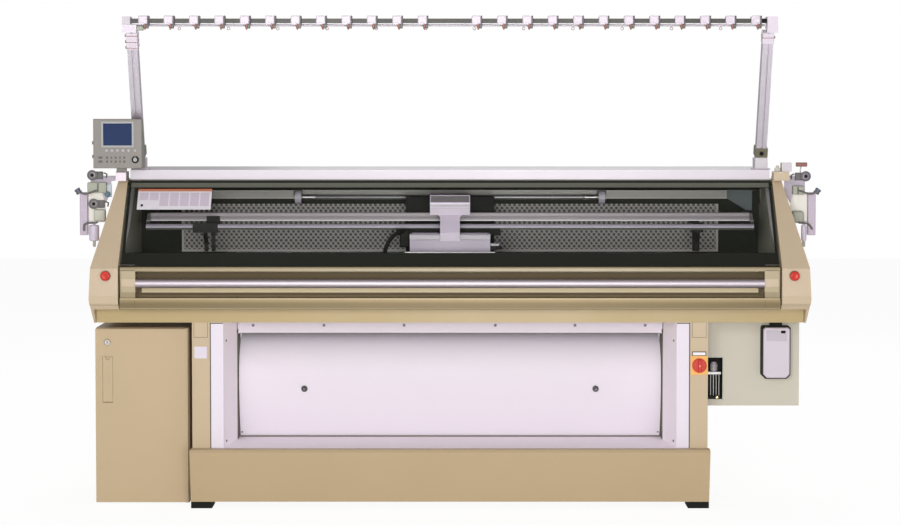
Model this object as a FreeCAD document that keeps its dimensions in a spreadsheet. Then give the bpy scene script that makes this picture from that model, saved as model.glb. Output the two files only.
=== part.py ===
# Computerised flat knitting machine, free-standing, about 3.3 m wide, 0.85 m deep and 2.1 m high.
#
# Frame: X runs along the needle beds, Y runs from the operator's side (negative) to the back,
# Z is up, and Z = 0 is the floor. The origin lies on the floor under the middle of the machine.
#
# Two box legs carry the main beam. The beam carries a V of two needle beds, and a carriage bridges
# both beds on rails. Yarn comes down from a top rail with 24 tension units, past the side tension
# plates, to four yarn carriers that slide on their own rails under a glazed hood. The fabric leaves
# through a slot in the beam, past the take-down roller, and slides down a bowed white panel.
import FreeCAD, Part

import math
import os
import re

import Sketcher

V = FreeCAD.Vector

# Driving dimensions, in millimetres, degrees or counts. Each is a cell of the sheet, with this alias.
SIZES = {
    # stand
    "foot_height": 31,
    "foot_width": 91,
    "foot_depth": 110,
    "leg_outer": 1112,
    "leg_width": 76,
    "leg_height": 775,
    "leg_wall": 5,
    "half_depth": 330,
    "leg_cover_height": 62,
    "leg_cover_width": 57,
    "leg_cover_thick": 2,
    # beam and the castings on it
    "beam_height": 61,
    "beam_half": 1523,
    "slot_half": 1040,
    "slot_width": 140,
    "casting_half": 1130,
    "ledge_width": 90,
    "rail_wall_width": 30,
    "rail_wall_height": 118,
    "rail_wall_reach": 207,
    "rail_wall_half": 1391,
    "rail_width": 20,
    "rail_height": 20,
    # needle beds
    "gate_ahead": 40,
    "gate_height": 218,
    "gate_gap": 12,
    "bed_angle": 40,
    "bed_length": 210,
    "bed_thick": 30,
    "bed_half": 1000,
    "needle_pitch": 81,
    "needle_count": 24,
    "needle_width": 14,
    "needle_rise": 3,
    "needle_start": 14,
    "needle_length": 170,
    # kick panel and fabric bin
    "kick_top": 262,
    "kick_end": 6,
    "kick_reach": 56,
    "kick_foot_reach": 18,
    "sheet_thick": 4,
    "bin_lip": 4,
    "jamb_width": 58,
    "bin_splay": 37,
    "bin_back": 40,
    "valance_height": 72,
    "valance_hem": 14,
    "belly_out": 82,
    "belly_out_height": 281,
    "belly_top_back": 40,
    "belly_shoulder": 460,
    "belly_foot": 24,
    "belly_lift": 6,
    "belly_side_gap": 5,
    "valance_gap": 6,
    "knob_across": 646,
    "knob_height": 223,
    "knob_round": 27,
    "knob_thick": 7,
    # control cabinet
    "cabinet_gap": 31,
    "cabinet_width": 407,
    "cabinet_drop": 38,
    "cabinet_front": 212,
    "door_thick": 22,
    "door_edge": 3,
    "door_pin_round": 3.5,
    "door_pin_in": 2.2,
    "door_pin_back": 6,
    "door_pin_reach": 2.5,
    "lock_size": 24,
    "lock_drop": 64,
    "handle_height": 200,
    "handle_width": 43,
    "handle_drop": 323,
    "handle_in": 32,
    "handle_deep": 14,
    "handle_play": 1,
    "handle_pin_round": 4,
    "handle_pin_reach": 3,
    "handle_pivot": 6,
    "card_count": 6,
    "card_pitch": 48,
    # service box, lint case and main switch
    "service_width": 430,
    "service_height": 391,
    "service_front": 120,
    "service_back": 300,
    "window_width": 88,
    "window_low": 29,
    "window_height": 184,
    "valve_tube_round": 11,
    "valve_tube_pitch": 17,
    "lint_width": 126,
    "lint_height": 232,
    "lint_depth": 60,
    "lint_in": 109,
    "lint_drop": 34,
    "switch_plate_width": 74,
    "switch_plate_height": 82,
    "switch_plate_thick": 4,
    "switch_height": 621,
    "switch_knob_round": 62,
    "switch_knob_thick": 26,
    "switch_stem_round": 14,
    # front channel and operation bar
    "channel_front": 412,
    "channel_back": 335,
    "channel_foot": 45,
    "channel_height": 183,
    "channel_end_gap": 7,
    "end_block": 64,
    "recess_low": 52,
    "recess_height": 114,
    "lip_set_back": 8,
    "nose_round": 14,
    "wall_thick": 10,
    "bar_round": 38,
    "bar_height": 113,
    "bar_ahead": 392,
    "journal_round": 16,
    "journal_length": 32,
    "end_gap": 2,
    "running_gap": 0.1,
    # side covers and stop buttons
    "cover_inner": 1416,
    "cover_head_width": 40,
    "cover_waist_width": 118,
    "cover_belly_width": 125,
    "cover_foot_width": 115,
    "cover_rise": 545,
    "cover_proud": 14,
    "stop_out": 51.5,
    "stop_height": 148,
    "stop_round": 42,
    "stop_head": 15,
    "stop_stem_round": 20,
    "stop_stem_length": 18,
    "stop_travel": 5,
    # hood
    "hood_end_gap": 6,
    "hood_reach": 360,
    "hood_head_reach": 120,
    "hood_thick": 24,
    "hood_side": 8,
    "hood_low_band": 54,
    "hood_top_band": 28,
    "hood_seal": 2,
    "glass_thick": 5,
    "hinge_round": 12,
    "hinge_drop": 17,
    "hinge_in": 8,
    # yarn table and back
    "table_end_gap": 8,
    "table_front": 112,
    "table_back": 430,
    "table_height": 42,
    "table_gap": 3,
    "back_wall_at": 222,
    "screen_half": 1225,
    "screen_low": 207,
    "screen_height": 238,
    "screen_off": 18,
    "screen_thick": 2,
    "hole_columns": 26,
    "hole_rows": 3,
    "hole_pitch": 93,
    "hole_row_pitch": 72,
    "hole_width": 64,
    "hole_height": 48,
    "vent_count": 10,
    "vent_pitch": 84,
    "vent_height": 90,
    "vent_width": 8,
    # yarn rails and carriers
    "yarn_rail_end": 85,
    "yarn_bracket_thick": 13,
    "yarn_rail_thick": 8,
    "yarn_rail_pitch": 28,
    "yarn_rail_first": 92,
    "low_rail_rise": 107,
    "low_rail_height": 24,
    "high_rail_rise": 143,
    "high_rail_height": 36,
    "shoe_side": 7,
    "shoe_play": 0.5,
    "shoe_rise": 6,
    "finger_pitch": 6,
    "finger_thick": 4,
    "finger_rise": 8,
    "carrier_left_at": 1082,
    "carrier_left_step": 30,
    "carrier_right_at": 1100,
    "carrier_right_step": 12,
    # carriage
    "carriage_half": 175,
    "rear_half": 198,
    "neck_half": 43,
    "head_half": 88,
    "cam_gap": 6,
    "front_face": 182,
    "front_top": 96,
    "rear_face": 62,
    "rear_top": 247,
    "bridge_plate": 12,
    "bridge_face": 80,
    "bridge_round": 17,
    "bridge_back": 148,
    "rail_play": 0.5,
    # take-down, belt drive and lamp
    "roller_round": 60,
    "roller_end_gap": 40,
    "roller_journal": 20,
    "pulley_end": 86,
    "pulley_round": 60,
    "pulley_width": 22,
    "pulley_height": 143,
    "belt_thick": 3,
    "belt_width": 16,
    "shaft_round": 16,
    "motor_round": 90,
    "motor_length": 120,
    "lamp_round": 23,
    "lamp_half": 672,
    "lamp_bar_left": 1082,
    "lamp_bar_right": 1259,
    "lamp_bar_rise": 13,
    "lamp_back": 52,
    "lamp_height": 457,
    "lamp_bar_height": 38,
    "lamp_bar_depth": 30,
    "socket_round": 59,
    "socket_thick": 37,
    # yarn stand
    "post_in": 37,
    "post_size": 45,
    "post_groove": 8,
    "post_groove_deep": 6,
    "post_back": -30,
    "post_length": 642,
    "post_lean": 19.5,
    "post_foot_height": 62,
    "post_foot_size": 56,
    "post_foot_ahead": 50,
    "post_foot_depth": 74,
    "clamp_height": 46,
    "top_rail_half": 1413,
    "top_rail_size": 19,
    "rail_rise": 44,
    "corner_top": 62,
    "corner_step": 26,
    "corner_plate": 62,
    "corner_left": 35,
    "corner_right": 46,
    "thread_bar_size": 12,
    "thread_bar_gap": 4,
    "tension_count": 12,
    "tension_end": 90,
    "tension_first": 116.4,
    "tension_width": 46,
    "tension_height": 44,
    "tension_stem": 22,
    # side tension plates
    "plate_back": -60,
    "plate_thick": 6,
    "plate_left_shift": 20,
    "arm_box_depth": 34,
    "column_out": 88,
    "column_wide": 34,
    "column_up": -80,
    "column_tall": 190,
    "plate_reach": 96,
    "plate_drop": 70,
    "disc_round": 46,
    "arm_width": 8,
    "arm_thick": 5,
    "arm_pin_round": 7,
    "arm_pin_length": 20,
    "arm_up_out": 27,
    "arm_up_up": 24,
    "arm_low_out": 27,
    "arm_low_up": -118,
    # control panel
    "pivot_out": 22,
    "panel_out": 35,
    "panel_ahead": 160,
    "pivot_ahead": 112,
    "mount_width": 44,
    "mount_depth": 50,
    "mount_height": 39,
    "pivot_round": 16,
    "pivot_length": 20,
    "ear_round": 14,
    "ear_bevel": 4,
    "ear_thick": 8,
    "ear_span": 28,
    "tilt_pin_round": 6,
    "panel_gap": 1,
    "panel_width": 213,
    "panel_height": 216,
    "panel_depth": 95,
    "panel_top_depth": 36,
    "panel_face_ahead": 187.5,
    "screen_glass_width": 125,
    "screen_glass_height": 96,
    "screen_glass_low": 100,
    "glass_recess": 5,
    "mat_width": 150,
    "mat_height": 76,
    "mat_shift": 17,
    "mat_low": 17,
    "mat_thick": 1.5,
    "key_round": 14,
    "key_pitch": 24,
    "key_proud": 4,
    "key_height": 78,
    "small_key": 10,
    "small_key_pitch": 18.8,
    "small_key_height": 29.5,
    "small_key_row": 17.5,
    "dial_round": 32,
    "dial_thick": 7,
    "dial_right": 77.5,
    "dial_height": 38,
    "dial_stem": 10,
    "dial_stem_length": 12,
    "port_low": 51,
    "port_high": 111,
}

# Places worked out from the driving dimensions, each written once.
PLACES = {
    "kick_half": "leg_outer + kick_end",
    "lint_across": "leg_outer + service_width - lint_in",
    "panel_middle": "cover_inner + panel_out",
    "panel_across": "cover_inner + pivot_out",
    "stop_across": "cover_inner + stop_out",
    "pulley_across": "cover_inner - pulley_end",
    "yarn_rail_half": "cover_inner - yarn_rail_end",
    "table_half": "cover_inner - table_end_gap",
    "channel_half": "cover_inner - channel_end_gap",
    "recess_half": "channel_half - end_block",
    "hood_half": "cover_inner - hood_end_gap",
    "plate_out": "cover_inner + plate_reach",
    "post_across": "top_rail_half - post_in",
    "roller_half": "slot_half - roller_end_gap",
    "leg_inner": "leg_outer - leg_width",
    "bin_mouth_half": "leg_inner - jamb_width",
    "bin_back_half": "bin_mouth_half - bin_splay",
    "leg_middle": "leg_outer - leg_width / 2",
    "beam_bottom": "foot_height + leg_height",
    "cabinet_height": "beam_bottom - cabinet_drop",
    "lock_height": "cabinet_height - lock_drop",
    "handle_low": "cabinet_height - handle_drop",
    "beam_top": "beam_bottom + beam_height",
    "gate_y": "0 - gate_ahead",
    "gate_z": "beam_top + gate_height",
    "slot_front": "gate_y - slot_width / 2",
    "slot_back": "gate_y + slot_width / 2",
    "bed_edge": "gate_gap / 2",
    "bed_run": "bed_length * cos(bed_angle)",
    "bed_fall": "bed_length * sin(bed_angle)",
    "bed_under": "bed_thick / cos(bed_angle)",
    "rail_base": "beam_top + rail_wall_height",
    "rail_top": "rail_base + rail_height",
    "roller_z": "beam_top - beam_height / 2",
    "kick_bottom": "foot_height",
    "door_left": "0 - leg_outer - cabinet_gap - cabinet_width",
    "door_right": "0 - leg_outer - cabinet_gap",
    "cabinet_face": "0 - cabinet_front + door_thick",
    "door_pin_x": "door_right - door_edge - door_pin_in",
    "door_pin_y": "cabinet_face - 0.5 - door_pin_back",
    "handle_left": "door_left + handle_in",
    "handle_axis_y": "0 - cabinet_front + handle_deep / 2 - handle_play / 2",
    "channel_top": "beam_top + channel_height",
    "bar_z": "beam_top + bar_height",
    "cover_top": "beam_top + cover_rise",
    "plate_up": "cover_top - plate_drop",
    "hood_foot_z": "channel_top + hood_seal",
    "table_bottom": "cover_top + table_gap",
    "table_top": "table_bottom + table_height",
    "hood_head_z": "cover_top - 4",
    "hinge_z": "cover_top - hinge_drop",
    "hood_slope": "(hood_reach - hood_head_reach) / (hood_head_z - hood_foot_z)",
    "hinge_y": "0 - hood_head_reach - (hood_head_z - hinge_z) * hood_slope + hinge_in",
    "hood_skew": "hood_thick / 2 * sqrt(1 + hood_slope * hood_slope)",
    "glass_skew": "glass_thick / 2 * sqrt(1 + hood_slope * hood_slope)",
    "screen_back": "back_wall_at - screen_off",
    "screen_low_z": "beam_top + screen_low",
    "low_rail_z": "gate_z + low_rail_rise",
    "high_rail_z": "gate_z + high_rail_rise",
    "cam_rise": "cam_gap / cos(bed_angle)",
    "front_face_y": "gate_y - front_face",
    "front_top_z": "gate_z + front_top",
    "rear_face_y": "gate_y + rear_face",
    "rear_top_z": "gate_z + rear_top",
    "wall_out": "rail_wall_reach + rail_wall_width / 2",
    "pulley_z": "beam_top + pulley_height",
    "pulley_y": "back_wall_at - pulley_width / 2 - 7",
    "lamp_y": "back_wall_at - lamp_back",
    "lamp_z": "beam_top + lamp_height",
    "post_top_z": "table_top + post_length * cos(post_lean)",
    "rail_z": "post_top_z + rail_rise",
    "tension_pitch": "(top_rail_half - tension_end - tension_first) / (tension_count - 1)",
    "rail_y": "post_back - post_length * sin(post_lean)",
    "mount_top": "cover_top + mount_height",
    "tilt_z": "mount_top + ear_round / 2",
    "panel_bottom": "tilt_z + ear_round / 2 + panel_gap",
    "panel_front": "0 - panel_face_ahead",
    "screen_left": "0 - panel_middle - screen_glass_width / 2",
    "screen_foot": "panel_bottom + screen_glass_low",
    "mat_left": "0 - panel_middle - mat_width / 2 - mat_shift",
    "mat_foot": "panel_bottom + mat_low",
    "dial_x": "0 - panel_middle + dial_right",
    "dial_z": "panel_bottom + dial_height",
}

WORD = re.compile(r"[a-z_][a-z_0-9]*")
TOKEN = re.compile(r"[a-z_][a-z_0-9]*|[0-9.]+|[-+*/()]")
FUNCTIONS = {"cos": lambda angle: math.cos(math.radians(angle)), "sin": lambda angle: math.sin(math.radians(angle)),
             "tan": lambda angle: math.tan(math.radians(angle)), "sqrt": math.sqrt}
doc = FreeCAD.newDocument("flat_knitting_machine")
sheet = doc.addObject("Spreadsheet::Sheet", "Sizes")


def fill_sheet():
    """Writes each driving dimension and each place into its own cell, with its name as the alias."""
    rows = list(SIZES.items()) + [(name, f"={formula}") for name, formula in PLACES.items()]
    for row, (name, value) in enumerate(rows, 1):
        sheet.set(f"A{row}", name)
        sheet.set(f"B{row}", str(value))
        sheet.setAlias(f"B{row}", name)
    doc.recompute()


def cell(expression):
    """The expression with the sheet's name before each of its words, for setExpression."""
    return WORD.sub(lambda m: m.group(0) if m.group(0) in FUNCTIONS else f"Sizes.{m.group(0)}",
                    str(expression))


def read_sum(tokens):
    total = read_product(tokens)
    while tokens and tokens[0] in ("+", "-"):
        sign = 1 if tokens.pop(0) == "+" else -1
        total += sign * read_product(tokens)
    return total


def read_product(tokens):
    value = read_factor(tokens)
    while tokens and tokens[0] in ("*", "/"):
        if tokens.pop(0) == "*":
            value *= read_factor(tokens)
        else:
            value /= read_factor(tokens)
    return value


def read_factor(tokens):
    token = tokens.pop(0)
    if token == "(":
        value = read_sum(tokens)
        tokens.pop(0)
        return value
    if token == "-":
        return -read_factor(tokens)
    if token in FUNCTIONS:
        return FUNCTIONS[token](read_factor(tokens))
    return float(token) if token[0].isdigit() else float(sheet.get(token))


def size(expression):
    """The expression's value, with the sheet's sizes for its words."""
    return read_sum(TOKEN.findall(str(expression)))


def side_words(side):
    """'-' for the left side of the machine and '' for the right, to put before an X expression."""
    return "-1 * " if side < 0 else "1 * "


def span(side, inner, outer):
    """(low, high) X of a stretch that runs from inner to outer on one side of the machine."""
    if side > 0:
        return f"{inner}", f"{outer}"
    return f"0 - ({outer})", f"0 - ({inner})"


def new_body(label):
    body = doc.addObject("PartDesign::Body", label)
    body.Label = label
    return body


def origin_plane(body, role):
    return [f for f in body.Origin.OriginFeatures if f.Role == role][0]


def new_sketch(body, plane, offset):
    """A sketch on one of the body's own origin planes, moved along its normal by offset."""
    sketch = body.newObject("Sketcher::SketchObject", "Outline")
    sketch.AttachmentSupport = [(origin_plane(body, f"{plane}_Plane"), "")]
    sketch.MapMode = "FlatFace"
    sketch.setExpression("AttachmentOffset.Base.z", cell(offset))
    return sketch


def arc_between(start, end, radius, turn):
    """The arc from start to end whose centre lies to the left (turn 1) or right (turn -1) of that way."""
    chord = end - start
    half = chord.Length / 2
    away = math.sqrt(max(radius * radius - half * half, 0))
    centre = (start + end) * 0.5 + V(-chord.y, chord.x, 0).normalize() * (away * turn)
    first, last = (start, end) if turn > 0 else (end, start)
    angles = [math.atan2(p.y - centre.y, p.x - centre.x) for p in (first, last)]
    if angles[1] <= angles[0]:
        angles[1] += 2 * math.pi
    return Part.ArcOfCircle(Part.Circle(centre, V(0, 0, 1), radius), angles[0], angles[1])


def draw_loop(sketch, points):
    """A closed loop of lines and arcs. A point is (x, y), or (x, y, radius, turn) where an arc starts.
    Each corner is held by two bound distances, and each arc by its bound radius."""
    first = sketch.GeometryCount
    places = [V(size(p[0]), size(p[1]), 0) for p in points]
    count = len(points)
    for i, point in enumerate(points):
        start, end = places[i], places[(i + 1) % count]
        if len(point) == 4:
            sketch.addGeometry(arc_between(start, end, size(point[2]), point[3]), False)
        else:
            sketch.addGeometry(Part.LineSegment(start, end), False)
    def ends(i):
        """The numbers of the start and end points of curve i. An arc that turns right is held reversed."""
        return (2, 1) if len(points[i]) == 4 and points[i][3] < 0 else (1, 2)

    for i, point in enumerate(points):
        following = (i + 1) % count
        sketch.addConstraint(Sketcher.Constraint("Coincident", first + i, ends(i)[1],
                                                 first + following, ends(following)[0]))
        for kind, value, place in (("DistanceX", point[0], places[i].x), ("DistanceY", point[1], places[i].y)):
            index = sketch.addConstraint(
                Sketcher.Constraint(kind, -1, 1, first + i, ends(i)[0], place))
            sketch.setExpression(f"Constraints[{index}]", cell(value))
        if len(point) == 4:
            index = sketch.addConstraint(Sketcher.Constraint("Radius", first + i, size(point[2])))
            sketch.setExpression(f"Constraints[{index}]", cell(point[2]))


def draw_circle(sketch, x, y, across):
    """A circle at (x, y), held by two bound distances and its bound diameter."""
    number = sketch.addGeometry(Part.Circle(V(size(x), size(y), 0), V(0, 0, 1), size(across) / 2), False)
    for kind, value in (("DistanceX", x), ("DistanceY", y)):
        index = sketch.addConstraint(Sketcher.Constraint(kind, -1, 1, number, 3, size(value)))
        sketch.setExpression(f"Constraints[{index}]", cell(value))
    index = sketch.addConstraint(Sketcher.Constraint("Diameter", number, size(across)))
    sketch.setExpression(f"Constraints[{index}]", cell(across))


def box_points(x_low, x_high, y_low, y_high):
    return [(x_low, y_low), (x_high, y_low), (x_high, y_high), (x_low, y_high)]


def polygon(x, y, across, count):
    """A regular outline with count corners round (x, y), for small round things seen from afar."""
    turns = [f"{360 * (k + 0.5) / count:.5f}" for k in range(count)]
    return [(f"{x} + ({across}) / 2 * cos({turn})", f"{y} + ({across}) / 2 * sin({turn})") for turn in turns]


def add(body, plane, loops, low, high, cut=False):
    """Pads the loops from low to high along the plane's axis, or cuts them out of the body.
    A loop is a list of points, or (x, y, diameter) for a circle."""
    before = body.Shape.Volume if cut else 0
    at_high = (plane == "XZ") != cut
    level = high if at_high else low
    offset = f"0 - ({level})" if plane == "XZ" else level
    sketch = new_sketch(body, plane, offset)
    for loop in loops:
        if isinstance(loop, tuple):
            draw_circle(sketch, *loop)
        else:
            draw_loop(sketch, loop)
    feature = body.newObject("PartDesign::Pocket" if cut else "PartDesign::Pad", "Cut" if cut else "Pad")
    feature.Profile = sketch
    feature.setExpression("Length", cell(f"({high}) - ({low})"))
    doc.recompute()
    if cut and not body.Shape.Volume < before - 1e-3:
        raise ValueError(f"{body.Label}: a cut took nothing away")
    return feature


def cut(body, plane, loops, low, high):
    return add(body, plane, loops, low, high, cut=True)


def soften(body, radius, chosen, kind="Fillet"):
    """Rounds or chamfers the body's edges whose middle point the test picks."""
    base = body.Tip
    names = []
    for number, edge in enumerate(base.Shape.Edges, 1):
        if chosen(edge.CenterOfMass, edge):
            names.append(f"Edge{number}")
    if not names:
        raise ValueError(f"{body.Label}: no edge to soften")
    feature = body.newObject(f"PartDesign::{kind}", kind)
    feature.Base = (base, names)
    feature.setExpression("Radius" if kind == "Fillet" else "Size", cell(radius))
    doc.recompute()
    if "Invalid" in feature.State:
        raise ValueError(f"{body.Label}: the {kind.lower()} failed")
    return feature


def repeat(body, feature, axis, count, pitch):
    """The feature again and again along one of the body's axes."""
    pattern = body.newObject("PartDesign::LinearPattern", "Row")
    pattern.Originals = [feature]
    pattern.Direction = (origin_plane(body, f"{axis}_Axis"), [""])
    pattern.Mode = "Spacing"
    pattern.setExpression("Offset", cell(pitch))
    pattern.setExpression("Occurrences", cell(count))
    body.Tip = pattern
    doc.recompute()
    return pattern


# ---------------------------------------------------------------- stand

def leg(label, side):
    """A closed sheet leg, hollow inside, with a small cover plate at the top of its front."""
    body = new_body(label)
    low, high = span(side, "leg_inner", "leg_outer")
    add(body, "YZ", [box_points("0 - half_depth", "half_depth", "foot_height", "beam_bottom")], low, high)
    low, high = span(side, "leg_inner", "leg_outer - leg_wall")
    cut(body, "YZ", [box_points("leg_wall - half_depth", "half_depth - leg_wall",
                                "foot_height + leg_wall", "beam_bottom - leg_wall")], low, high)
    low, high = span(side, "leg_inner", "leg_inner + leg_wall")
    add(body, "YZ", [box_points("0 - half_depth", "half_depth", "foot_height", "beam_bottom")], low, high)
    middle = f"{side_words(side)}leg_middle"
    add(body, "XZ", [box_points(f"{middle} - leg_cover_width / 2", f"{middle} + leg_cover_width / 2",
                                "beam_bottom - leg_cover_height", "beam_bottom - 1")],
        "0 - half_depth - leg_cover_thick", "0 - half_depth")
    if side > 0:
        cut(body, "XZ", [("leg_middle", "switch_height", "switch_stem_round + 2 * running_gap")],
            "0 - half_depth", "leg_wall - half_depth")


def levelling_feet():
    """Four pads under the corners of the legs."""
    body = new_body("levelling_feet")
    loops = []
    for side in (-1, 1):
        middle = f"{side_words(side)}leg_middle"
        for y_low, y_high in (("0 - half_depth", "foot_depth - half_depth"),
                              ("half_depth - foot_depth", "half_depth")):
            loops.append(box_points(f"{middle} - foot_width / 2", f"{middle} + foot_width / 2", y_low, y_high))
    add(body, "XY", loops, "0", "foot_height")


def ledge_outline(side):
    """The slanted seat of one needle bed: side -1 is the front bed, 1 the rear bed."""
    sign = side_words(side)
    inner = f"gate_y + {sign}slot_width / 2"
    outer = f"gate_y + {sign}(slot_width / 2 + ledge_width)"
    lower = f"gate_y + {sign}(bed_edge + bed_run - bed_thick * sin(bed_angle))"
    low_z = "gate_z - bed_under - (bed_run - bed_thick * sin(bed_angle)) * tan(bed_angle)"
    inner_z = "gate_z - bed_under - (slot_width / 2 - bed_edge) * tan(bed_angle)"
    return [(outer, "beam_top"), (inner, "beam_top"), (inner, inner_z), (lower, low_z), (outer, low_z)]


def main_beam():
    """The long beam with its fabric slot, the slanted seats of the needle beds and the two carriage rails."""
    body = new_body("main_beam")
    add(body, "XY", [box_points("0 - beam_half", "beam_half", "0 - half_depth", "half_depth")],
        "beam_bottom", "beam_top")
    cut(body, "XY", [box_points("0 - slot_half", "slot_half", "slot_front", "slot_back")],
        "beam_bottom", "beam_top")
    for side in (-1, 1):
        sign = side_words(side)
        add(body, "YZ", [ledge_outline(side)], "0 - casting_half", "casting_half")
        wall = f"gate_y + {sign}rail_wall_reach"
        add(body, "YZ", [box_points(f"{wall} - rail_wall_width / 2", f"{wall} + rail_wall_width / 2",
                                    "beam_top", "rail_base")], "0 - rail_wall_half", "rail_wall_half")
        add(body, "YZ", [box_points(f"{wall} - rail_width / 2", f"{wall} + rail_width / 2",
                                    "rail_base", "rail_top")], "0 - rail_wall_half", "rail_wall_half")
    for low, high in (("0 - slot_half - 45", "0 - slot_half"), ("slot_half", "slot_half + 45")):
        cut(body, "YZ", [("gate_y", "roller_z", "roller_journal + 2 * running_gap")], low, high)


def kick_panel():
    """The folded panel between the feet, leaning back towards its foot."""
    body = new_body("kick_panel")
    top, low = "kick_top", "kick_bottom + 1"
    back = "0 - half_depth"
    front = "0 - half_depth - kick_reach"
    foot = "0 - half_depth - kick_foot_reach"
    t = "sheet_thick"
    channel = [(back, top), (f"{front} + 8", top), (front, f"{top} - 10"), (foot, low), (back, low),
               (back, f"{low} + {t}"), (f"{foot} + {t}", f"{low} + {t}"),
               (f"{front} + {t}", f"{top} - 10"), (f"{front} + 8 + {t} / 2", f"{top} - {t}"),
               (back, f"{top} - {t}")]
    add(body, "YZ", [channel], "0 - kick_half", "kick_half")
    end = [(back, top), (f"{front} + 8", top), (front, f"{top} - 10"), (foot, low), (back, low)]
    for side in (-1, 1):
        low_x, high_x = span(side, "kick_half - sheet_thick", "kick_half")
        add(body, "YZ", [end], low_x, high_x)


# ---------------------------------------------------------------- fabric bin

def chute_liner():
    """White liner of the fabric bin: a floor, two splayed side walls with a front return, and the strip
    with a folded hem that hangs under the beam in front of the fabric slot."""
    body = new_body("chute_liner")
    mouth, kink = "(0 - half_depth + bin_lip)", "(slot_front - sheet_thick)"
    for side in (-1, 1):
        s = side_words(side)
        wall = [(f"{s}leg_inner", mouth), (f"{s}bin_mouth_half", mouth), (f"{s}bin_back_half", kink),
                (f"{s}bin_back_half", "bin_back"), (f"{s}(bin_back_half + sheet_thick)", "bin_back"),
                (f"{s}(bin_back_half + sheet_thick)", kink),
                (f"{s}(bin_mouth_half + sheet_thick)", f"{mouth} + sheet_thick"),
                (f"{s}leg_inner", f"{mouth} + sheet_thick")]
        add(body, "XY", [wall], "kick_top - sheet_thick", "beam_bottom")
    floor = [("0 - bin_mouth_half", f"{mouth}"), ("bin_mouth_half", f"{mouth}"),
             ("bin_back_half", kink), ("bin_back_half", "bin_back"), ("0 - bin_back_half", "bin_back"),
             ("0 - bin_back_half", kink)]
    add(body, "XY", [floor], "kick_top - sheet_thick", "kick_top")
    low = "(beam_bottom - valance_height)"
    strip = [("slot_front - sheet_thick", "beam_bottom"), ("slot_front - sheet_thick", low),
             ("slot_front + valance_hem", low), ("slot_front + valance_hem", f"{low} + sheet_thick"),
             ("slot_front", f"{low} + sheet_thick"), ("slot_front", "beam_bottom")]
    add(body, "YZ", [strip], "valance_gap - bin_back_half", "bin_back_half - valance_gap")
    # a tab at each end of the strip ties it to the side wall behind it
    for side in (-1, 1):
        low_x, high_x = span(side, "bin_back_half - valance_gap - 20", "bin_back_half")
        add(body, "YZ", [box_points("slot_front", "slot_front + sheet_thick", f"{low} + 20", "beam_bottom")],
            low_x, high_x)


def belly_panel():
    """The bowed white panel that the fabric slides down, hung under the beam, with two round pull knobs."""
    body = new_body("belly_panel")
    foot_z = "(kick_top + belly_lift)"
    out_y, out_z = "0 - belly_out", "kick_top + belly_out_height"
    top_y, top_z = "belly_top_back", "kick_top + belly_shoulder"
    foot_y = "0 - belly_foot"
    t = "sheet_thick"
    rise, run = f"(({top_z}) - ({out_z}))", "(belly_top_back + belly_out)"
    upper = f"(({run} * {run} + {rise} * {rise}) / (2 * {run}))"
    fall, drift = "(belly_out_height - belly_lift)", "(belly_out - belly_foot)"
    lower = f"(({drift} * {drift} + {fall} * {fall}) / (2 * {drift}))"
    sheet_outline = [
        (top_y, "beam_bottom"), (top_y, top_z, upper, 1), (out_y, out_z, lower, 1), (foot_y, foot_z),
        (f"{foot_y} + {t}", foot_z, f"{lower} - {t}", -1), (f"{out_y} + {t}", out_z, f"{upper} - {t}", -1),
        (f"{top_y} + {t}", f"{top_z} + {t} / 2"), (f"{top_y} + {t}", "beam_bottom")]
    add(body, "YZ", [sheet_outline], "belly_side_gap - bin_back_half", "bin_back_half - belly_side_gap")
    for side in (-1, 1):
        at = f"{side_words(side)}knob_across"
        add(body, "XZ", [polygon(at, "kick_top + knob_height", "knob_round", 12)],
            "0 - belly_out - knob_thick + 3", "0 - belly_out + 5")


# ---------------------------------------------------------------- control cabinet

def cabinet_body():
    """Sheet cabinet that stands on the floor left of the machine, open at the front behind its door."""
    body = new_body("cabinet_body")
    t = "sheet_thick"
    add(body, "XZ", [box_points("door_left", "door_right", "0", "cabinet_height")], "cabinet_face", "half_depth")
    cut(body, "XZ", [box_points(f"door_left + {t}", f"door_right - {t}", t, f"cabinet_height - {t}")],
        "cabinet_face", f"half_depth - {t}")
    add(body, "XZ", [box_points("door_right", "0 - leg_outer", "cabinet_height - 170", "cabinet_height - 110")],
        "120", "200")
    # brackets that hold the door's pins above and below it
    for low, high in (("0", "door_edge - 0.2"), ("cabinet_height - door_edge + 0.2", "cabinet_height")):
        add(body, "XY", [box_points("door_pin_x - 12", "door_right", "door_pin_y - 8", "cabinet_face")], low, high)
        cut(body, "XY", [("door_pin_x", "door_pin_y", "door_pin_round + 2 * running_gap")], low, high)


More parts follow.
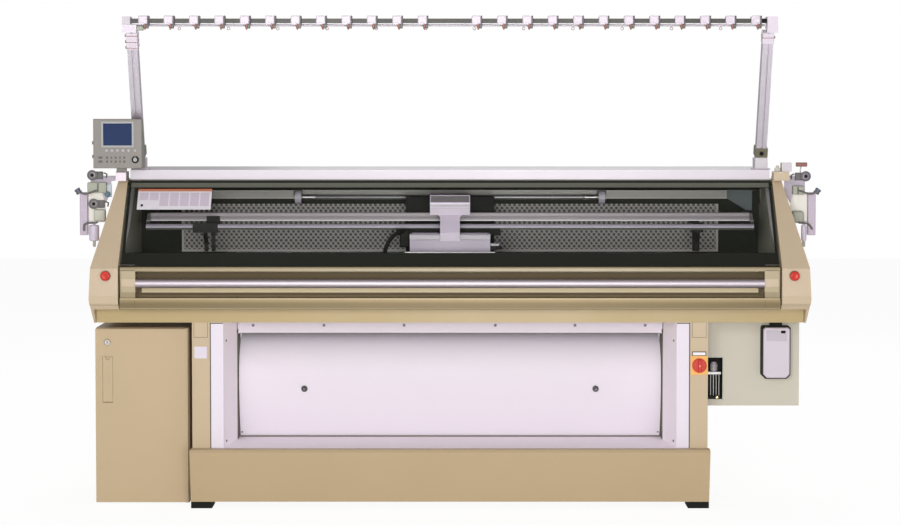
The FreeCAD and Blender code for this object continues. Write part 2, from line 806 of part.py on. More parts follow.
def cabinet_door():
    """The door, a shallow pan with a key lock and a long well for its handle."""
    body = new_body("cabinet_door")
    e = "door_edge"
    add(body, "XZ", [box_points("door_left", "door_right - door_edge", e, f"cabinet_height - {e}")],
        "0 - cabinet_front", "cabinet_face - 0.5")
    cut(body, "XZ", [box_points("door_left + 25", "door_right - 25", "30", "cabinet_height - 30")],
        "0 - cabinet_front + handle_deep + 3", "cabinet_face - 0.5")
    well = box_points("door_left + handle_in - handle_play", "door_left + handle_in + handle_width + handle_play",
                      "handle_low - 3 * handle_play", "handle_low + handle_height + handle_play")
    cut(body, "XZ", [well], "0 - cabinet_front", "0 - cabinet_front + handle_deep")
    cut(body, "YZ", [("handle_axis_y", "handle_low + handle_pivot", "handle_pin_round + 2 * running_gap")],
        "handle_left - handle_pin_reach - handle_play", "handle_left + handle_width + handle_pin_reach + handle_play")
    for low, high in (("door_edge - door_pin_reach", "door_edge"),
                      ("cabinet_height - door_edge", "cabinet_height - door_edge + door_pin_reach")):
        add(body, "XY", [("door_pin_x", "door_pin_y", "door_pin_round")], low, high)
    lock = "door_left + handle_in + handle_width / 2"
    add(body, "XZ", [box_points(f"{lock} - lock_size / 2", f"{lock} + lock_size / 2",
                                "lock_height - lock_size / 2", "lock_height + lock_size / 2")],
        "0 - cabinet_front - 3", "0 - cabinet_front")


def door_handle():
    """The long flush handle. It is hinged at its foot and has a finger notch at its head."""
    body = new_body("door_handle")
    x_low, x_high = "door_left + handle_in", "door_left + handle_in + handle_width"
    add(body, "XZ", [box_points(x_low, x_high, "handle_low", "handle_low + handle_height")],
        "0 - cabinet_front", "0 - cabinet_front + handle_deep - handle_play")
    middle = "door_left + handle_in + handle_width / 2"
    cut(body, "XZ", [box_points(f"{middle} - 9", f"{middle} + 9", "handle_low + handle_height - 14",
                                "handle_low + handle_height")],
        "0 - cabinet_front", "0 - cabinet_front + 8")
    soften(body, "handle_deep - 2 * handle_play",
           lambda c, e: abs(c.z - size("handle_low")) < 0.1 and c.y > size("cabinet_face") - size("door_thick") + 8
           and e.Length > size("handle_width / 2"))
    add(body, "YZ", [("handle_axis_y", "handle_low + handle_pivot", "handle_pin_round")],
        f"{x_low} - handle_pin_reach", f"{x_high} + handle_pin_reach")


def control_rack():
    """Back plate with drive cards and a power supply, screwed to the back of the cabinet."""
    body = new_body("control_rack")
    t = "sheet_thick"
    back = f"half_depth - {t}"
    add(body, "XZ", [box_points(f"door_left + {t} + 20", f"door_right - {t} - 20", "60", "cabinet_height - 60")],
        f"{back} - 6", back)
    card = add(body, "XZ", [box_points("door_left + 60", "door_left + 66", "330", "cabinet_height - 100")],
               f"{back} - 200", f"{back} - 6")
    repeat(body, card, "X", "card_count", "card_pitch")
    add(body, "XZ", [box_points("door_left + 60", "door_right - 60", "90", "260")], f"{back} - 150", f"{back} - 6")


# ---------------------------------------------------------------- right-hand boxes and main switch

def service_box():
    """The sheet box under the right end of the beam, with a window for the air connections."""
    body = new_body("service_box")
    t = "sheet_thick"
    low_z = "beam_bottom - service_height"
    add(body, "XY", [box_points("leg_outer", "leg_outer + service_width", "0 - service_front", "service_back")],
        low_z, "beam_bottom")
    cut(body, "XY", [box_points(f"leg_outer + {t}", f"leg_outer + service_width - {t}",
                                f"{t} - service_front", f"service_back - {t}")],
        f"{low_z} + {t}", f"beam_bottom - {t}")
    cut(body, "XZ", [box_points(f"leg_outer + {t}", f"leg_outer + {t} + window_width",
                                f"{low_z} + window_low", f"{low_z} + window_low + window_height")],
        "0 - service_front", f"{t} - service_front")


def valve_bank():
    """Air valves behind the window: a manifold on a bracket, with upright tubes and a filter bowl."""
    body = new_body("valve_bank")
    t = "sheet_thick"
    low_z = f"(beam_bottom - service_height + {t})"
    left = f"(leg_outer + {t})"
    middle = "50 - service_front"
    add(body, "XY", [box_points(f"{left}", f"{left} + window_width", "30 - service_front", "75 - service_front")],
        low_z, f"{low_z} + 34")
    tube = add(body, "XY", [polygon(f"{left} + 14", middle, "valve_tube_round", 6)],
               f"{low_z} + 34", f"{low_z} + 128")
    repeat(body, tube, "X", "4", "valve_tube_pitch")
    add(body, "XY", [box_points(f"{left}", f"{left} + window_width", "36 - service_front", "66 - service_front")],
        f"{low_z} + 128", f"{low_z} + 142")
    add(body, "XY", [polygon(f"{left} + 30", middle, "34", 12)], f"{low_z} + 142", f"{low_z} + 186")


def lint_case():
    """The grey case that hangs in front of the service box from a bracket under the beam."""
    body = new_body("lint_case")
    x_low, x_high = "lint_across - lint_width / 2", "lint_across + lint_width / 2"
    top = "beam_bottom - lint_drop"
    low = f"{top} - lint_height"
    c = "16"
    case = [(f"{x_low} + {c}", low), (f"{x_high} - {c}", low), (x_high, f"{low} + {c}"),
            (x_high, f"{top} - 8"), (f"{x_high} - 8", top), (f"{x_low} + 8", top), (x_low, f"{top} - 8"),
            (x_low, f"{low} + {c}")]
    add(body, "XZ", [case], "0 - service_front - lint_depth", "0 - service_front")
    soften(body, "7", lambda p, e: p.y < size("0 - service_front - lint_depth") + 0.1, "Chamfer")
    add(body, "XZ", [box_points("lint_across - 26", "lint_across + 26", top, "beam_bottom")],
        "0 - service_front - lint_depth + 12", "0 - service_front - 15")


def switch_plate():
    """The square plate of the main switch, on the front of the right leg."""
    body = new_body("switch_plate")
    add(body, "XZ", [box_points("leg_middle - switch_plate_width / 2", "leg_middle + switch_plate_width / 2",
                                "switch_height - switch_plate_height / 2", "switch_height + switch_plate_height / 2"),
                     ("leg_middle", "switch_height", "switch_stem_round + 2 * running_gap")],
        "0 - half_depth - switch_plate_thick", "0 - half_depth")
    soften(body, "6", lambda p, e: abs(e.Length - size("switch_plate_thick")) < 0.01
           and abs(p.x - size("leg_middle")) > size("switch_plate_width") / 2 - 0.1, "Chamfer")


def main_switch_knob():
    """The turning knob of the main switch, with a raised grip across it and a stem through the plate."""
    body = new_body("main_switch_knob")
    front = "0 - half_depth - switch_plate_thick"
    add(body, "XZ", [polygon("leg_middle", "switch_height", "switch_knob_round", 20)],
        f"{front} - switch_knob_thick / 2", f"{front} - end_gap / 4")
    add(body, "XZ", [box_points("leg_middle - 9", "leg_middle + 9", "switch_height - switch_knob_round / 2 + 4",
                                "switch_height + switch_knob_round / 2 - 4")],
        f"{front} - switch_knob_thick", f"{front} - switch_knob_thick / 2")
    add(body, "XZ", [("leg_middle", "switch_height", "switch_stem_round")],
        f"{front} - end_gap / 4", "0 - half_depth + leg_wall")


# ---------------------------------------------------------------- front channel and side covers

def channel_outline(with_recess):
    """The channel's section: foot on the beam, round nose at the front, and a recess for the bar."""
    front = "0 - channel_front"
    base = "beam_top"
    nose_back = f"{front} + nose_round"
    outline = [("0 - channel_back + channel_foot", base), (nose_back, base, "nose_round", -1),
               (front, f"{base} + nose_round"), (front, f"{base} + recess_low - nose_round", "nose_round", -1),
               (nose_back, f"{base} + recess_low")]
    if with_recess:
        wall = "0 - channel_back - wall_thick"
        outline += [(f"{wall} - 7", f"{base} + recess_low"), (wall, f"{base} + recess_low + 7"),
                    (wall, f"{base} + recess_low + recess_height - 7"),
                    (f"{wall} - 7", f"{base} + recess_low + recess_height")]
    outline += [(f"{front} + lip_set_back", f"{base} + recess_low + recess_height"),
                (f"{front} + lip_set_back", "channel_top - 5"), (f"{front} + lip_set_back + 6", "channel_top"),
                ("0 - channel_back", "channel_top"), ("0 - channel_back", f"{base} + 13"),
                ("0 - channel_back + channel_foot", f"{base} + 13")]
    return outline


def front_channel():
    """The long channel at the front, with an end block at each side that carries the operation bar."""
    body = new_body("front_channel")
    add(body, "YZ", [channel_outline(True)], "0 - recess_half", "recess_half")
    for side in (-1, 1):
        low, high = span(side, "recess_half", "channel_half")
        add(body, "YZ", [channel_outline(False)], low, high)
        low, high = span(side, "recess_half", "recess_half + journal_length + end_gap")
        cut(body, "YZ", [("0 - bar_ahead", "bar_z", "journal_round + 2 * running_gap")], low, high)


def operation_bar():
    """The round bar that the operator turns to start and stop the machine."""
    body = new_body("operation_bar")
    add(body, "YZ", [("0 - bar_ahead", "bar_z", "bar_round")], "0 - recess_half + end_gap", "recess_half - end_gap")
    for side in (-1, 1):
        low, high = span(side, "recess_half - end_gap", "recess_half + journal_length")
        add(body, "YZ", [("0 - bar_ahead", "bar_z", "journal_round")], low, high)


def side_cover(label, side):
    """One of the two end covers: its side view follows the hood's slope, and its front view flares out."""
    body = new_body(label)
    nose = "0 - channel_front"
    side_view = [(f"{nose} - 2", "channel_top - 5"), (f"{nose} - 6", "beam_top + 62"),
                 (f"{nose} - 2", "beam_top + 34", "nose_round", 1),
                 (f"{nose} - 2 + nose_round", "beam_top + 34 - nose_round"),
                 ("0 - half_depth - 12", "beam_bottom"), ("table_back", "beam_bottom"), ("table_back", "cover_top"),
                 ("0 - hood_head_reach - cover_proud", "cover_top")]
    low, high = span(side, "cover_inner", "cover_inner + cover_belly_width")
    add(body, "YZ", [side_view], low, high)
    s = side_words(side)
    outside = [(f"{s}(cover_inner + cover_head_width)", "cover_top"),
               (f"{s}(cover_inner + cover_waist_width)", "channel_top"),
               (f"{s}(cover_inner + cover_belly_width)", "beam_top + 48"),
               (f"{s}(cover_inner + cover_foot_width)", "beam_bottom"),
               (f"{s}(cover_inner + cover_belly_width + 30)", "beam_bottom"),
               (f"{s}(cover_inner + cover_belly_width + 30)", "cover_top")]
    cut(body, "XZ", [outside], f"{nose} - 10", "table_back")
    # the main beam runs into the cover, and its front stays in view
    low, high = span(side, "cover_inner", "beam_half + 1")
    cut(body, "YZ", [box_points(f"{nose} - 10", "half_depth + 1", "beam_bottom", "beam_top + 1")], low, high)
    front = f"{nose} - 6"
    cut(body, "XZ", [(f"{s}stop_across", "beam_top + stop_height", "stop_stem_round + 2 * running_gap")],
        front, f"{front} + stop_stem_length + stop_travel + 4")
    low, high = span(side, "cover_inner", "cover_inner + 14")
    cut(body, "YZ", [("hinge_y", "hinge_z", "hinge_round + 2 * running_gap")], low, high)
    if side < 0:
        cut(body, "XY", [("0 - panel_across", "0 - pivot_ahead", "pivot_round + 2 * running_gap")],
            "cover_top - pivot_length - 1", "cover_top")
    else:
        # the box and the smaller block that stand on the right cover
        add(body, "XY", [box_points("cover_inner", "cover_inner + 68", "0 - panel_ahead - 20",
                                    "40 - panel_ahead")], "cover_top", "mount_top")
        add(body, "XY", [box_points("cover_inner + 36", "cover_inner + 80", "0 - panel_ahead - 10",
                                    "30 - panel_ahead")], "mount_top", "mount_top + mount_height")


def stop_button(label, side):
    """Mushroom stop button on the nose of the side cover, with its stem in the cover."""
    body = new_body(label)
    s = side_words(side)
    at, up = f"{s}stop_across", "beam_top + stop_height"
    face = "0 - channel_front - 6 - stop_travel"
    add(body, "XZ", [polygon(at, up, "stop_round", 20)], f"{face} - stop_head", face)
    add(body, "XZ", [polygon(at, up, "stop_stem_round", 12)], face, f"{face} + stop_stem_length + stop_travel")
    soften(body, "5", lambda p, e: p.y < size(f"{face} - stop_head") + 0.1, "Chamfer")


# ---------------------------------------------------------------- hood

def slope_y(z, skew):
    """The Y of the hood's sheet at height z, moved by skew."""
    return f"(0 - hood_reach + (({z}) - hood_foot_z) * hood_slope + ({skew}))"


def slope_strip(low, high, skew):
    """A slice of the hood's thickness between two heights."""
    return [(slope_y(low, f"0 - {skew}"), low), (slope_y(low, skew), low),
            (slope_y(high, skew), high), (slope_y(high, f"0 - {skew}"), high)]


def hood_frame():
    """The dark frame of the hood: a wide lower band, a narrow upper band, two sides and two hinge pins."""
    body = new_body("hood_frame")
    add(body, "YZ", [slope_strip("hood_foot_z", "hood_head_z", "hood_skew")], "0 - hood_half", "hood_half")
    cut(body, "XZ", [box_points("hood_side - hood_half", "hood_half - hood_side", "hood_foot_z + hood_low_band",
                                "hood_head_z - hood_top_band")], "0 - hood_reach - 60", "60 - hood_head_reach")
    for side in (-1, 1):
        low, high = span(side, "hood_half", "cover_inner + 12")
        add(body, "YZ", [("hinge_y", "hinge_z", "hinge_round")], low, high)


def hood_window():
    """The clear sheet in the hood's frame."""
    body = new_body("hood_window")
    add(body, "YZ", [slope_strip("hood_foot_z + hood_low_band", "hood_head_z - hood_top_band", "glass_skew")],
        "hood_side - hood_half", "hood_half - hood_side")


# ---------------------------------------------------------------- yarn table and back

def yarn_table():
    """The white table on top for the yarn cones: a tray turned over, with a deep front edge."""
    body = new_body("yarn_table")
    t = "sheet_thick"
    add(body, "XY", [box_points("0 - table_half", "table_half", "0 - table_front", "table_back")],
        "table_bottom", "table_top")
    cut(body, "XY", [box_points(f"{t} - table_half", f"table_half - {t}", f"{t} - table_front",
                                f"table_back - {t}")], "table_bottom", f"table_top - {t}")


def rear_cover():
    """The folded rear cover with a row of cooling slots."""
    body = new_body("rear_cover")
    t = "sheet_thick"
    outline = [("back_wall_at + wall_thick", "table_bottom"), ("table_back", "table_bottom"),
               ("table_back", "beam_bottom"), ("half_depth", "beam_bottom"), ("half_depth", f"beam_bottom + {t}"),
               (f"table_back - {t}", f"beam_bottom + {t}"), (f"table_back - {t}", f"table_bottom - {t}"),
               ("back_wall_at + wall_thick", f"table_bottom - {t}")]
    add(body, "YZ", [outline], "0 - cover_inner", "cover_inner")
    first = "0 - (vent_count - 1) * vent_pitch / 2"
    slot = cut(body, "XZ", [box_points(f"{first} - vent_width / 2", f"{first} + vent_width / 2",
                                       "beam_top + 60", "beam_top + 60 + vent_height")],
               f"table_back - {t}", "table_back")
    repeat(body, slot, "X", "vent_count", "vent_pitch")


def back_wall():
    """The upright wall behind the beds. It carries the yarn table, the screen, the lamp and the drive."""
    body = new_body("back_wall")
    add(body, "XZ", [box_points("0 - cover_inner", "cover_inner", "beam_top", "table_bottom"),
                     ("0 - pulley_across", "pulley_z", "shaft_round + 2 * running_gap"),
                     ("pulley_across", "pulley_z", "shaft_round + 2 * running_gap")],
        "back_wall_at", "back_wall_at + wall_thick")


def perforated_screen():
    """The perforated sheet behind the carriage: one holed face, extruded, with a flange above and below."""
    half, thick, off = size("screen_half"), size("screen_thick"), size("screen_off")
    low, tall, wall = size("screen_low_z"), size("screen_height"), size("back_wall_at")
    columns, rows = int(size("hole_columns")), int(size("hole_rows"))
    pitch, row_pitch = size("hole_pitch"), size("hole_row_pitch")
    wide, high = size("hole_width") / 2, size("hole_height") / 2

    def loop(points):
        return Part.makePolygon([V(x, wall - off, z) for x, z in points + points[:1]])

    wires = [loop([(-half, low), (half, low), (half, low + tall), (-half, low + tall)])]
    for row in range(rows):
        z = low + tall / 2 + (row - (rows - 1) / 2) * row_pitch
        shift = pitch / 4 if row % 2 else -pitch / 4
        for column in range(columns):
            x = (column - (columns - 1) / 2) * pitch + shift
            wires.append(loop([(x - wide, z), (x, z - high), (x + wide, z), (x, z + high)]))
    holed = Part.Face(wires, "Part::FaceMakerBullseye").extrude(V(0, -thick, 0))
    flange = Part.makeBox(2 * half, off, thick, V(-half, wall - off, low))
    top = Part.makeBox(2 * half, off, thick, V(-half, wall - off, low + tall - thick))
    screen = doc.addObject("Part::Feature", "perforated_screen")
    screen.Label = "perforated_screen"
    screen.Shape = holed.fuse([flange, top]).removeSplitter()
    screen.Placement = FreeCAD.Placement()


# ---------------------------------------------------------------- needle beds

def needle_bed(label, side):
    """One slanted needle bed with its row of needle tricks. Side -1 is the front bed, 1 the rear."""
    body = new_body(label)
    s = side_words(side)

    def at(along, up):
        """A point of the section: along the slope from the gate's edge, and up from its surface."""
        y = f"gate_y + {s}(bed_edge + ({along}) * cos(bed_angle) + ({up}) * sin(bed_angle))"
        z = f"gate_z - ({along}) * sin(bed_angle) + ({up}) * cos(bed_angle)"
        return y, z

    inner = f"gate_y + {s}bed_edge"
    section = [(inner, "gate_z"), at("bed_length", "0"), at("bed_length", "0 - bed_thick"),
               (inner, "gate_z - bed_under")]
    add(body, "YZ", [section], "0 - bed_half", "bed_half")
    first = "0 - (needle_count - 1) * needle_pitch / 2"
    rib = [at("needle_start", "0"), at("needle_start + needle_length", "0"),
           at("needle_start + needle_length", "needle_rise"), at("needle_start", "needle_rise")]
    needle = add(body, "YZ", [rib], f"{first} - needle_width / 2", f"{first} + needle_width / 2")
    repeat(body, needle, "X", "needle_count", "needle_pitch")


# ---------------------------------------------------------------- yarn rails and carriers

def rail_front(number):
    """The front Y of yarn rail number 1 to 4, counted from the operator's side."""
    return f"(0 - yarn_rail_first + {number - 1} * yarn_rail_pitch)"


def rail_heights(number):
    """(low, high) Z of a yarn rail: the two front rails lie lower than the two behind them."""
    if number <= 2:
        return "low_rail_z", "low_rail_z + low_rail_height"
    return "high_rail_z", "high_rail_z + high_rail_height"


def yarn_rails():
    """Four yarn rails, joined at each end by a bracket that reaches back to the back wall."""
    body = new_body("yarn_rails")
    for number in (1, 2, 3, 4):
        low, high = rail_heights(number)
        front = rail_front(number)
        groove = f"({low} + {high}) / 2"
        back = f"{front} + yarn_rail_thick"
        section = [(front, low), (back, low), (back, high), (front, high),
                   (front, f"{groove} + 3"), (f"{front} + 2", f"{groove} + 2"),
                   (f"{front} + 2", f"{groove} - 2"), (front, f"{groove} - 3")]
        add(body, "YZ", [section], "0 - yarn_rail_half", "yarn_rail_half")
    bracket = [(rail_front(1), "low_rail_z"), ("back_wall_at", "low_rail_z"),
               ("back_wall_at", "high_rail_z + high_rail_height"),
               (rail_front(3), "high_rail_z + high_rail_height"),
               (rail_front(1), "low_rail_z + low_rail_height")]
    for side in (-1, 1):
        low, high = span(side, "yarn_rail_half", "yarn_rail_half + yarn_bracket_thick")
        add(body, "YZ", [bracket], low, high)


def yarn_carrier(number, at, wide):
    """A carrier: a shoe that grips its rail, an arm down to the gate and a finger that leads the yarn.
    at is the X of its middle, and wide its width."""
    body = new_body(f"yarn_carrier_{number}")
    low, high = rail_heights(number)
    front, back = rail_front(number), f"({rail_front(number)} + yarn_rail_thick)"
    side, play, rise = "shoe_side", "shoe_play", "shoe_rise"
    x_low, x_high = f"{at} - {wide} / 2", f"{at} + {wide} / 2"
    shoe = [(f"{front} - {play} - {side}", f"{low} - {rise} - {side}"),
            (f"{back} + {play} + {side}", f"{low} - {rise} - {side}")]
    if number <= 2:
        # closed over the rail's top
        shoe += [(f"{back} + {play} + {side}", f"{low} + 10"), (f"{back} + {play}", f"{low} + 10"),
                 (f"{back} + {play}", f"{low} - {play}"), (f"{front} - {play}", f"{low} - {play}"),
                 (f"{front} - {play}", f"{high} + {play}"), (f"{back} + {play}", f"{high} + {play}"),
                 (f"{back} + {play}", f"{high} - 8"), (f"{back} + {play} + {side}", f"{high} - 8"),
                 (f"{back} + {play} + {side}", f"{high} + {rise}"), (f"{front} - {play} - {side}", f"{high} + {rise}")]
    else:
        # open above, with a lip in the rail's groove
        groove = f"(({low} + {high}) / 2)"
        shoe += [(f"{back} + {play} + {side}", groove), (f"{back} + {play}", groove),
                 (f"{back} + {play}", f"{low} - {play}"), (f"{front} - {play}", f"{low} - {play}"),
                 (f"{front} - {play}", f"{groove} - 2.5"), (f"{front} + 1.5", f"{groove} - 1.5"),
                 (f"{front} + 1.5", f"{groove} + 1.5"), (f"{front} - {play}", f"{groove} + 2.5"),
                 (f"{front} - {play}", f"{groove} + 4"), (f"{front} - {play} - {side}", f"{groove} + 4")]
    add(body, "YZ", [shoe], x_low, x_high)
    # the arm leans from the rail's lane to the finger's lane at the gate
    lane = f"(gate_y + ({number} - 2.5) * finger_pitch)"
    middle = f"({front} + yarn_rail_thick / 2)"
    top, knee = f"({low} - {rise} - {side})", "(gate_z + 45)"
    half = "finger_thick / 2"
    arm = [(f"{middle} - {half}", f"{top} + 1"), (f"{middle} - {half}", f"{top} - 4"),
           (f"{lane} - {half}", knee), (f"{lane} - {half}", "gate_z + finger_rise"),
           (f"{lane} + {half}", "gate_z + finger_rise"), (f"{lane} + {half}", knee),
           (f"{middle} + {half}", f"{top} - 4"), (f"{middle} + {half}", f"{top} + 1")]
    add(body, "YZ", [arm], f"{at} - 9", f"{at} + 9")


# ---------------------------------------------------------------- carriage

def bed_line(y, side):
    """Height of the clear line above a needle bed at y, for the carriage's underside."""
    s = side_words(side)
    return f"(gate_z + cam_rise - ({s}(({y}) - gate_y) - bed_edge) * tan(bed_angle))"


def front_carriage():
    """The carriage's front half: the slanted cam plate over the front bed, its rail shoe and its housing."""
    body = new_body("front_carriage")
    wall_in = "(gate_y - rail_wall_reach + rail_wall_width / 2 + 4)"
    shoe_out = "(gate_y - wall_out)"
    low_y, high_y = "(gate_y - 160)", "(gate_y - 35)"
    over = "(rail_top + rail_play)"
    section = [(shoe_out, over), (shoe_out, "gate_z"), ("front_face_y", "gate_z + 5"),
               ("front_face_y", "front_top_z"), ("gate_y - 90", "front_top_z"), (high_y, "front_top_z - 51"),
               (high_y, bed_line(high_y, -1)), (low_y, bed_line(low_y, -1)),
               ("gate_y - 175", bed_line(low_y, -1)), (wall_in, f"{over} - 22"), (wall_in, over)]
    add(body, "YZ", [section], "0 - carriage_half", "carriage_half")
    # shallow tray in the top of the housing, and the guard bar along its foot
    cut(body, "XY", [box_points("8 - carriage_half", "0 - neck_half - 6", "front_face_y + 8", "gate_y - 96"),
                     box_points("neck_half + 6", "carriage_half - 8", "front_face_y + 8", "gate_y - 96")],
        "front_top_z - 12", "front_top_z")
    add(body, "YZ", [polygon("front_face_y - 4", "gate_z + 14", "10", 12)], "0 - carriage_half - 22", "carriage_half + 22")


def rear_carriage():
    """The carriage's rear half, a tall dark housing over the rear bed, with the belt clamp."""
    body = new_body("rear_carriage")
    wall_in = "(gate_y + rail_wall_reach - rail_wall_width / 2 - 4)"
    shoe_out = "(gate_y + wall_out + 4)"
    over = "(rail_top + rail_play)"
    low_y = "(gate_y + 160)"
    section = [("rear_face_y", "rear_top_z"), ("gate_y + bridge_back + 2", "rear_top_z"),
               (shoe_out, "rear_top_z - 62"), (shoe_out, over), (wall_in, over), (wall_in, f"{over} - 22"),
               ("gate_y + 175", bed_line(low_y, 1)), (low_y, bed_line(low_y, 1)),
               ("rear_face_y", bed_line("rear_face_y", 1))]
    add(body, "YZ", [section], "0 - rear_half", "rear_half")
    clamp_low = "pulley_z + pulley_round / 2 + belt_thick + 1"
    add(body, "YZ", [box_points(shoe_out, "pulley_y + 6", clamp_low, f"{clamp_low} + 12")], "0 - 30", "30")


def carriage_bridge():
    """The bridge that ties both halves over the yarn rails: one folded plate, cut to a wide head and a
    neck with round inner corners."""
    body = new_body("carriage_bridge")
    face = "(gate_y - bridge_face)"
    inner = f"({face} + bridge_plate)"
    top = "(rear_top_z + bridge_plate)"
    head_low = "(rear_top_z - 73)"
    foot_low = "(front_top_z - 31)"
    t = "bridge_plate"
    section = [("gate_y + bridge_back", top), (f"{face} + 25", top), (face, f"{top} - 34"), (face, head_low),
               (f"front_face_y - {t}", "front_top_z + 6"), (f"front_face_y - {t}", foot_low),
               ("front_face_y", foot_low), ("front_face_y", "front_top_z"), ("front_face_y + 22", "front_top_z"),
               (inner, f"{head_low} - 14"), (inner, f"{top} - 38"), (f"{inner} + 21", "rear_top_z"),
               ("gate_y + bridge_back", "rear_top_z")]
    add(body, "YZ", [section], "0 - head_half", "head_half")
    corner = "(neck_half + bridge_round)"
    right = [("neck_half", f"{foot_low} - 1"), ("head_half + 1", f"{foot_low} - 1"), ("head_half + 1", head_low),
             (corner, head_low, "bridge_round", 1), ("neck_half", f"{head_low} - bridge_round")]
    left = [("0 - head_half - 1", f"{foot_low} - 1"), ("0 - neck_half", f"{foot_low} - 1"),
            ("0 - neck_half", f"{head_low} - bridge_round", "bridge_round", 1),
            (f"0 - {corner}", head_low), ("0 - head_half - 1", head_low)]
    cut(body, "XZ", [right, left], f"front_face_y - {t} - 1", f"{inner} + 1")


# ---------------------------------------------------------------- take-down, drive and lamp

def take_down_roller():
    """The roller in the beam's slot that draws the fabric down."""
    body = new_body("take_down_roller")
    add(body, "YZ", [polygon("gate_y", "roller_z", "roller_round", 20)], "0 - roller_half", "roller_half")
    for side in (-1, 1):
        low, high = span(side, "roller_half", "slot_half + 40")
        add(body, "YZ", [("gate_y", "roller_z", "roller_journal")], low, high)


def pulley(label, side):
    """A toothed belt pulley with a flange at each side, on a shaft in the back wall."""
    body = new_body(label)
    at = f"{side_words(side)}pulley_across"
    half = "pulley_width / 2"
    add(body, "XZ", [polygon(at, "pulley_z", "pulley_round", 16)], f"pulley_y - {half}", f"pulley_y + {half}")
    for low, high in ((f"pulley_y - {half}", f"pulley_y - belt_width / 2 - 1"),
                      (f"pulley_y + belt_width / 2 + 1", f"pulley_y + {half}")):
        add(body, "XZ", [polygon(at, "pulley_z", "pulley_round + 4 * belt_thick", 16)], low, high)
    reach = "back_wall_at + wall_thick + 8" if side < 0 else "back_wall_at + wall_thick - 1"
    add(body, "XZ", [(at, "pulley_z", "shaft_round")], f"pulley_y + {half}", reach)


def drive_belt():
    """The toothed belt that draws the carriage, a closed loop round both pulleys, in short flats at its ends."""
    body = new_body("drive_belt")
    flats = 8
    inner = f"((pulley_round / 2 + 0.3) / cos({90 / flats}))"
    outer = f"({inner} + belt_thick)"

    def loop(radius):
        turns = [(side, 90 * -side + 180 * k / flats) for side in (1, -1) for k in range(flats + 1)]
        return [(f"{side_words(side)}pulley_across + {radius} * cos({turn:.1f})",
                 f"pulley_z + {radius} * sin({turn:.1f})") for side, turn in turns]

    add(body, "XZ", [loop(outer), loop(inner)], "pulley_y - belt_width / 2", "pulley_y + belt_width / 2")


def drive_motor():
    """The carriage motor behind the back wall, on a square flange."""
    body = new_body("drive_motor")
    wall = "back_wall_at + wall_thick"
    at = "0 - pulley_across"
    half = "(motor_round / 2 + 5)"
    add(body, "XZ", [box_points(f"{at} - {half}", f"{at} + {half}", f"pulley_z - {half}", f"pulley_z + {half}"),
                     (at, "pulley_z", "shaft_round + 2 * running_gap")], wall, f"{wall} + 12")
    add(body, "XZ", [polygon(at, "pulley_z", "motor_round", 12)], f"{wall} + 12", f"{wall} + 12 + motor_length")


def lamp_tube():
    """The straight lamp over the beds, from one socket to the other."""
    body = new_body("lamp_tube")
    add(body, "YZ", [polygon("lamp_y", "lamp_z", "lamp_round", 12)], "0 - lamp_half", "lamp_half")


def lamp_channel():
    """The lamp's rail: a back strip between the side covers, a deeper bar at each side and two sockets."""
    body = new_body("lamp_channel")
    back = "(screen_back - screen_thick)"
    low, high = "lamp_z + lamp_bar_rise - lamp_bar_height / 2", "lamp_z + lamp_bar_rise + lamp_bar_height / 2"
    add(body, "YZ", [box_points(f"{back} - 10", back, low, high)], "0 - cover_inner", "cover_inner")
    socket_end = "lamp_half + socket_thick"
    for side, bar_end in ((-1, "lamp_bar_left"), (1, "lamp_bar_right")):
        low_x, high_x = span(side, socket_end, bar_end)
        add(body, "YZ", [box_points(f"{back} - 10 - lamp_bar_depth", f"{back} - 10", low, high)], low_x, high_x)
        low_x, high_x = span(side, "lamp_half", socket_end)
        add(body, "YZ", [polygon("lamp_y", "lamp_z", "socket_round", 16)], low_x, high_x)


# ---------------------------------------------------------------- yarn stand

def post(label, side):
    """A slotted aluminium post that leans towards the operator, with a clamp round it and an upright foot."""
    body = new_body(f"{label}_bar")
    half, groove, deep = "post_size / 2", "post_groove / 2", "post_groove_deep"
    square = []
    for x_sign, y_sign in ((-1, -1), (1, -1), (1, 1), (-1, 1)):
        x, y = f"{side_words(x_sign)}{half}", f"{side_words(y_sign)}{half}"
        square.append((x, y))
        if x_sign * y_sign > 0:
            edge, inner = y, f"{side_words(y_sign)}({half} - {deep})"
            square += [(f"{side_words(x_sign)}{groove}", edge), (f"{side_words(x_sign)}{groove}", inner),
                       (f"{side_words(-x_sign)}{groove}", inner), (f"{side_words(-x_sign)}{groove}", edge)]
        else:
            edge, inner = x, f"{side_words(x_sign)}({half} - {deep})"
            square += [(edge, f"{side_words(y_sign)}{groove}"), (inner, f"{side_words(y_sign)}{groove}"),
                       (inner, f"{side_words(-y_sign)}{groove}"), (edge, f"{side_words(-y_sign)}{groove}")]
    add(body, "XY", [square], "12", "post_length")
    wide = "post_foot_size / 2"
    add(body, "XY", [box_points(f"0 - {wide}", wide, f"0 - {wide}", wide)], "post_foot_height",
        "post_foot_height + clamp_height")
    at = f"{side_words(side)}post_across"
    body.Placement.Rotation = FreeCAD.Rotation(V(1, 0, 0), 1)
    body.setExpression("Placement.Base.x", cell(at))
    body.setExpression("Placement.Base.y", cell("post_back"))
    body.setExpression("Placement.Base.z", cell("table_top"))
    body.setExpression("Placement.Rotation.Angle", cell("post_lean"))
    foot = doc.addObject("Part::Box", f"{label}_foot")
    foot.setExpression("Length", cell("post_foot_size"))
    foot.setExpression("Width", cell("post_foot_depth"))
    foot.setExpression("Height", cell("post_foot_height"))
    foot.setExpression("Placement.Base.x", cell(f"{at} - post_foot_size / 2"))
    foot.setExpression("Placement.Base.y", cell("post_back - post_foot_ahead"))
    foot.setExpression("Placement.Base.z", cell("table_top"))
    whole = doc.addObject("Part::Fuse", label)
    whole.Label = label
    whole.Base, whole.Tool = body, foot
    doc.recompute()


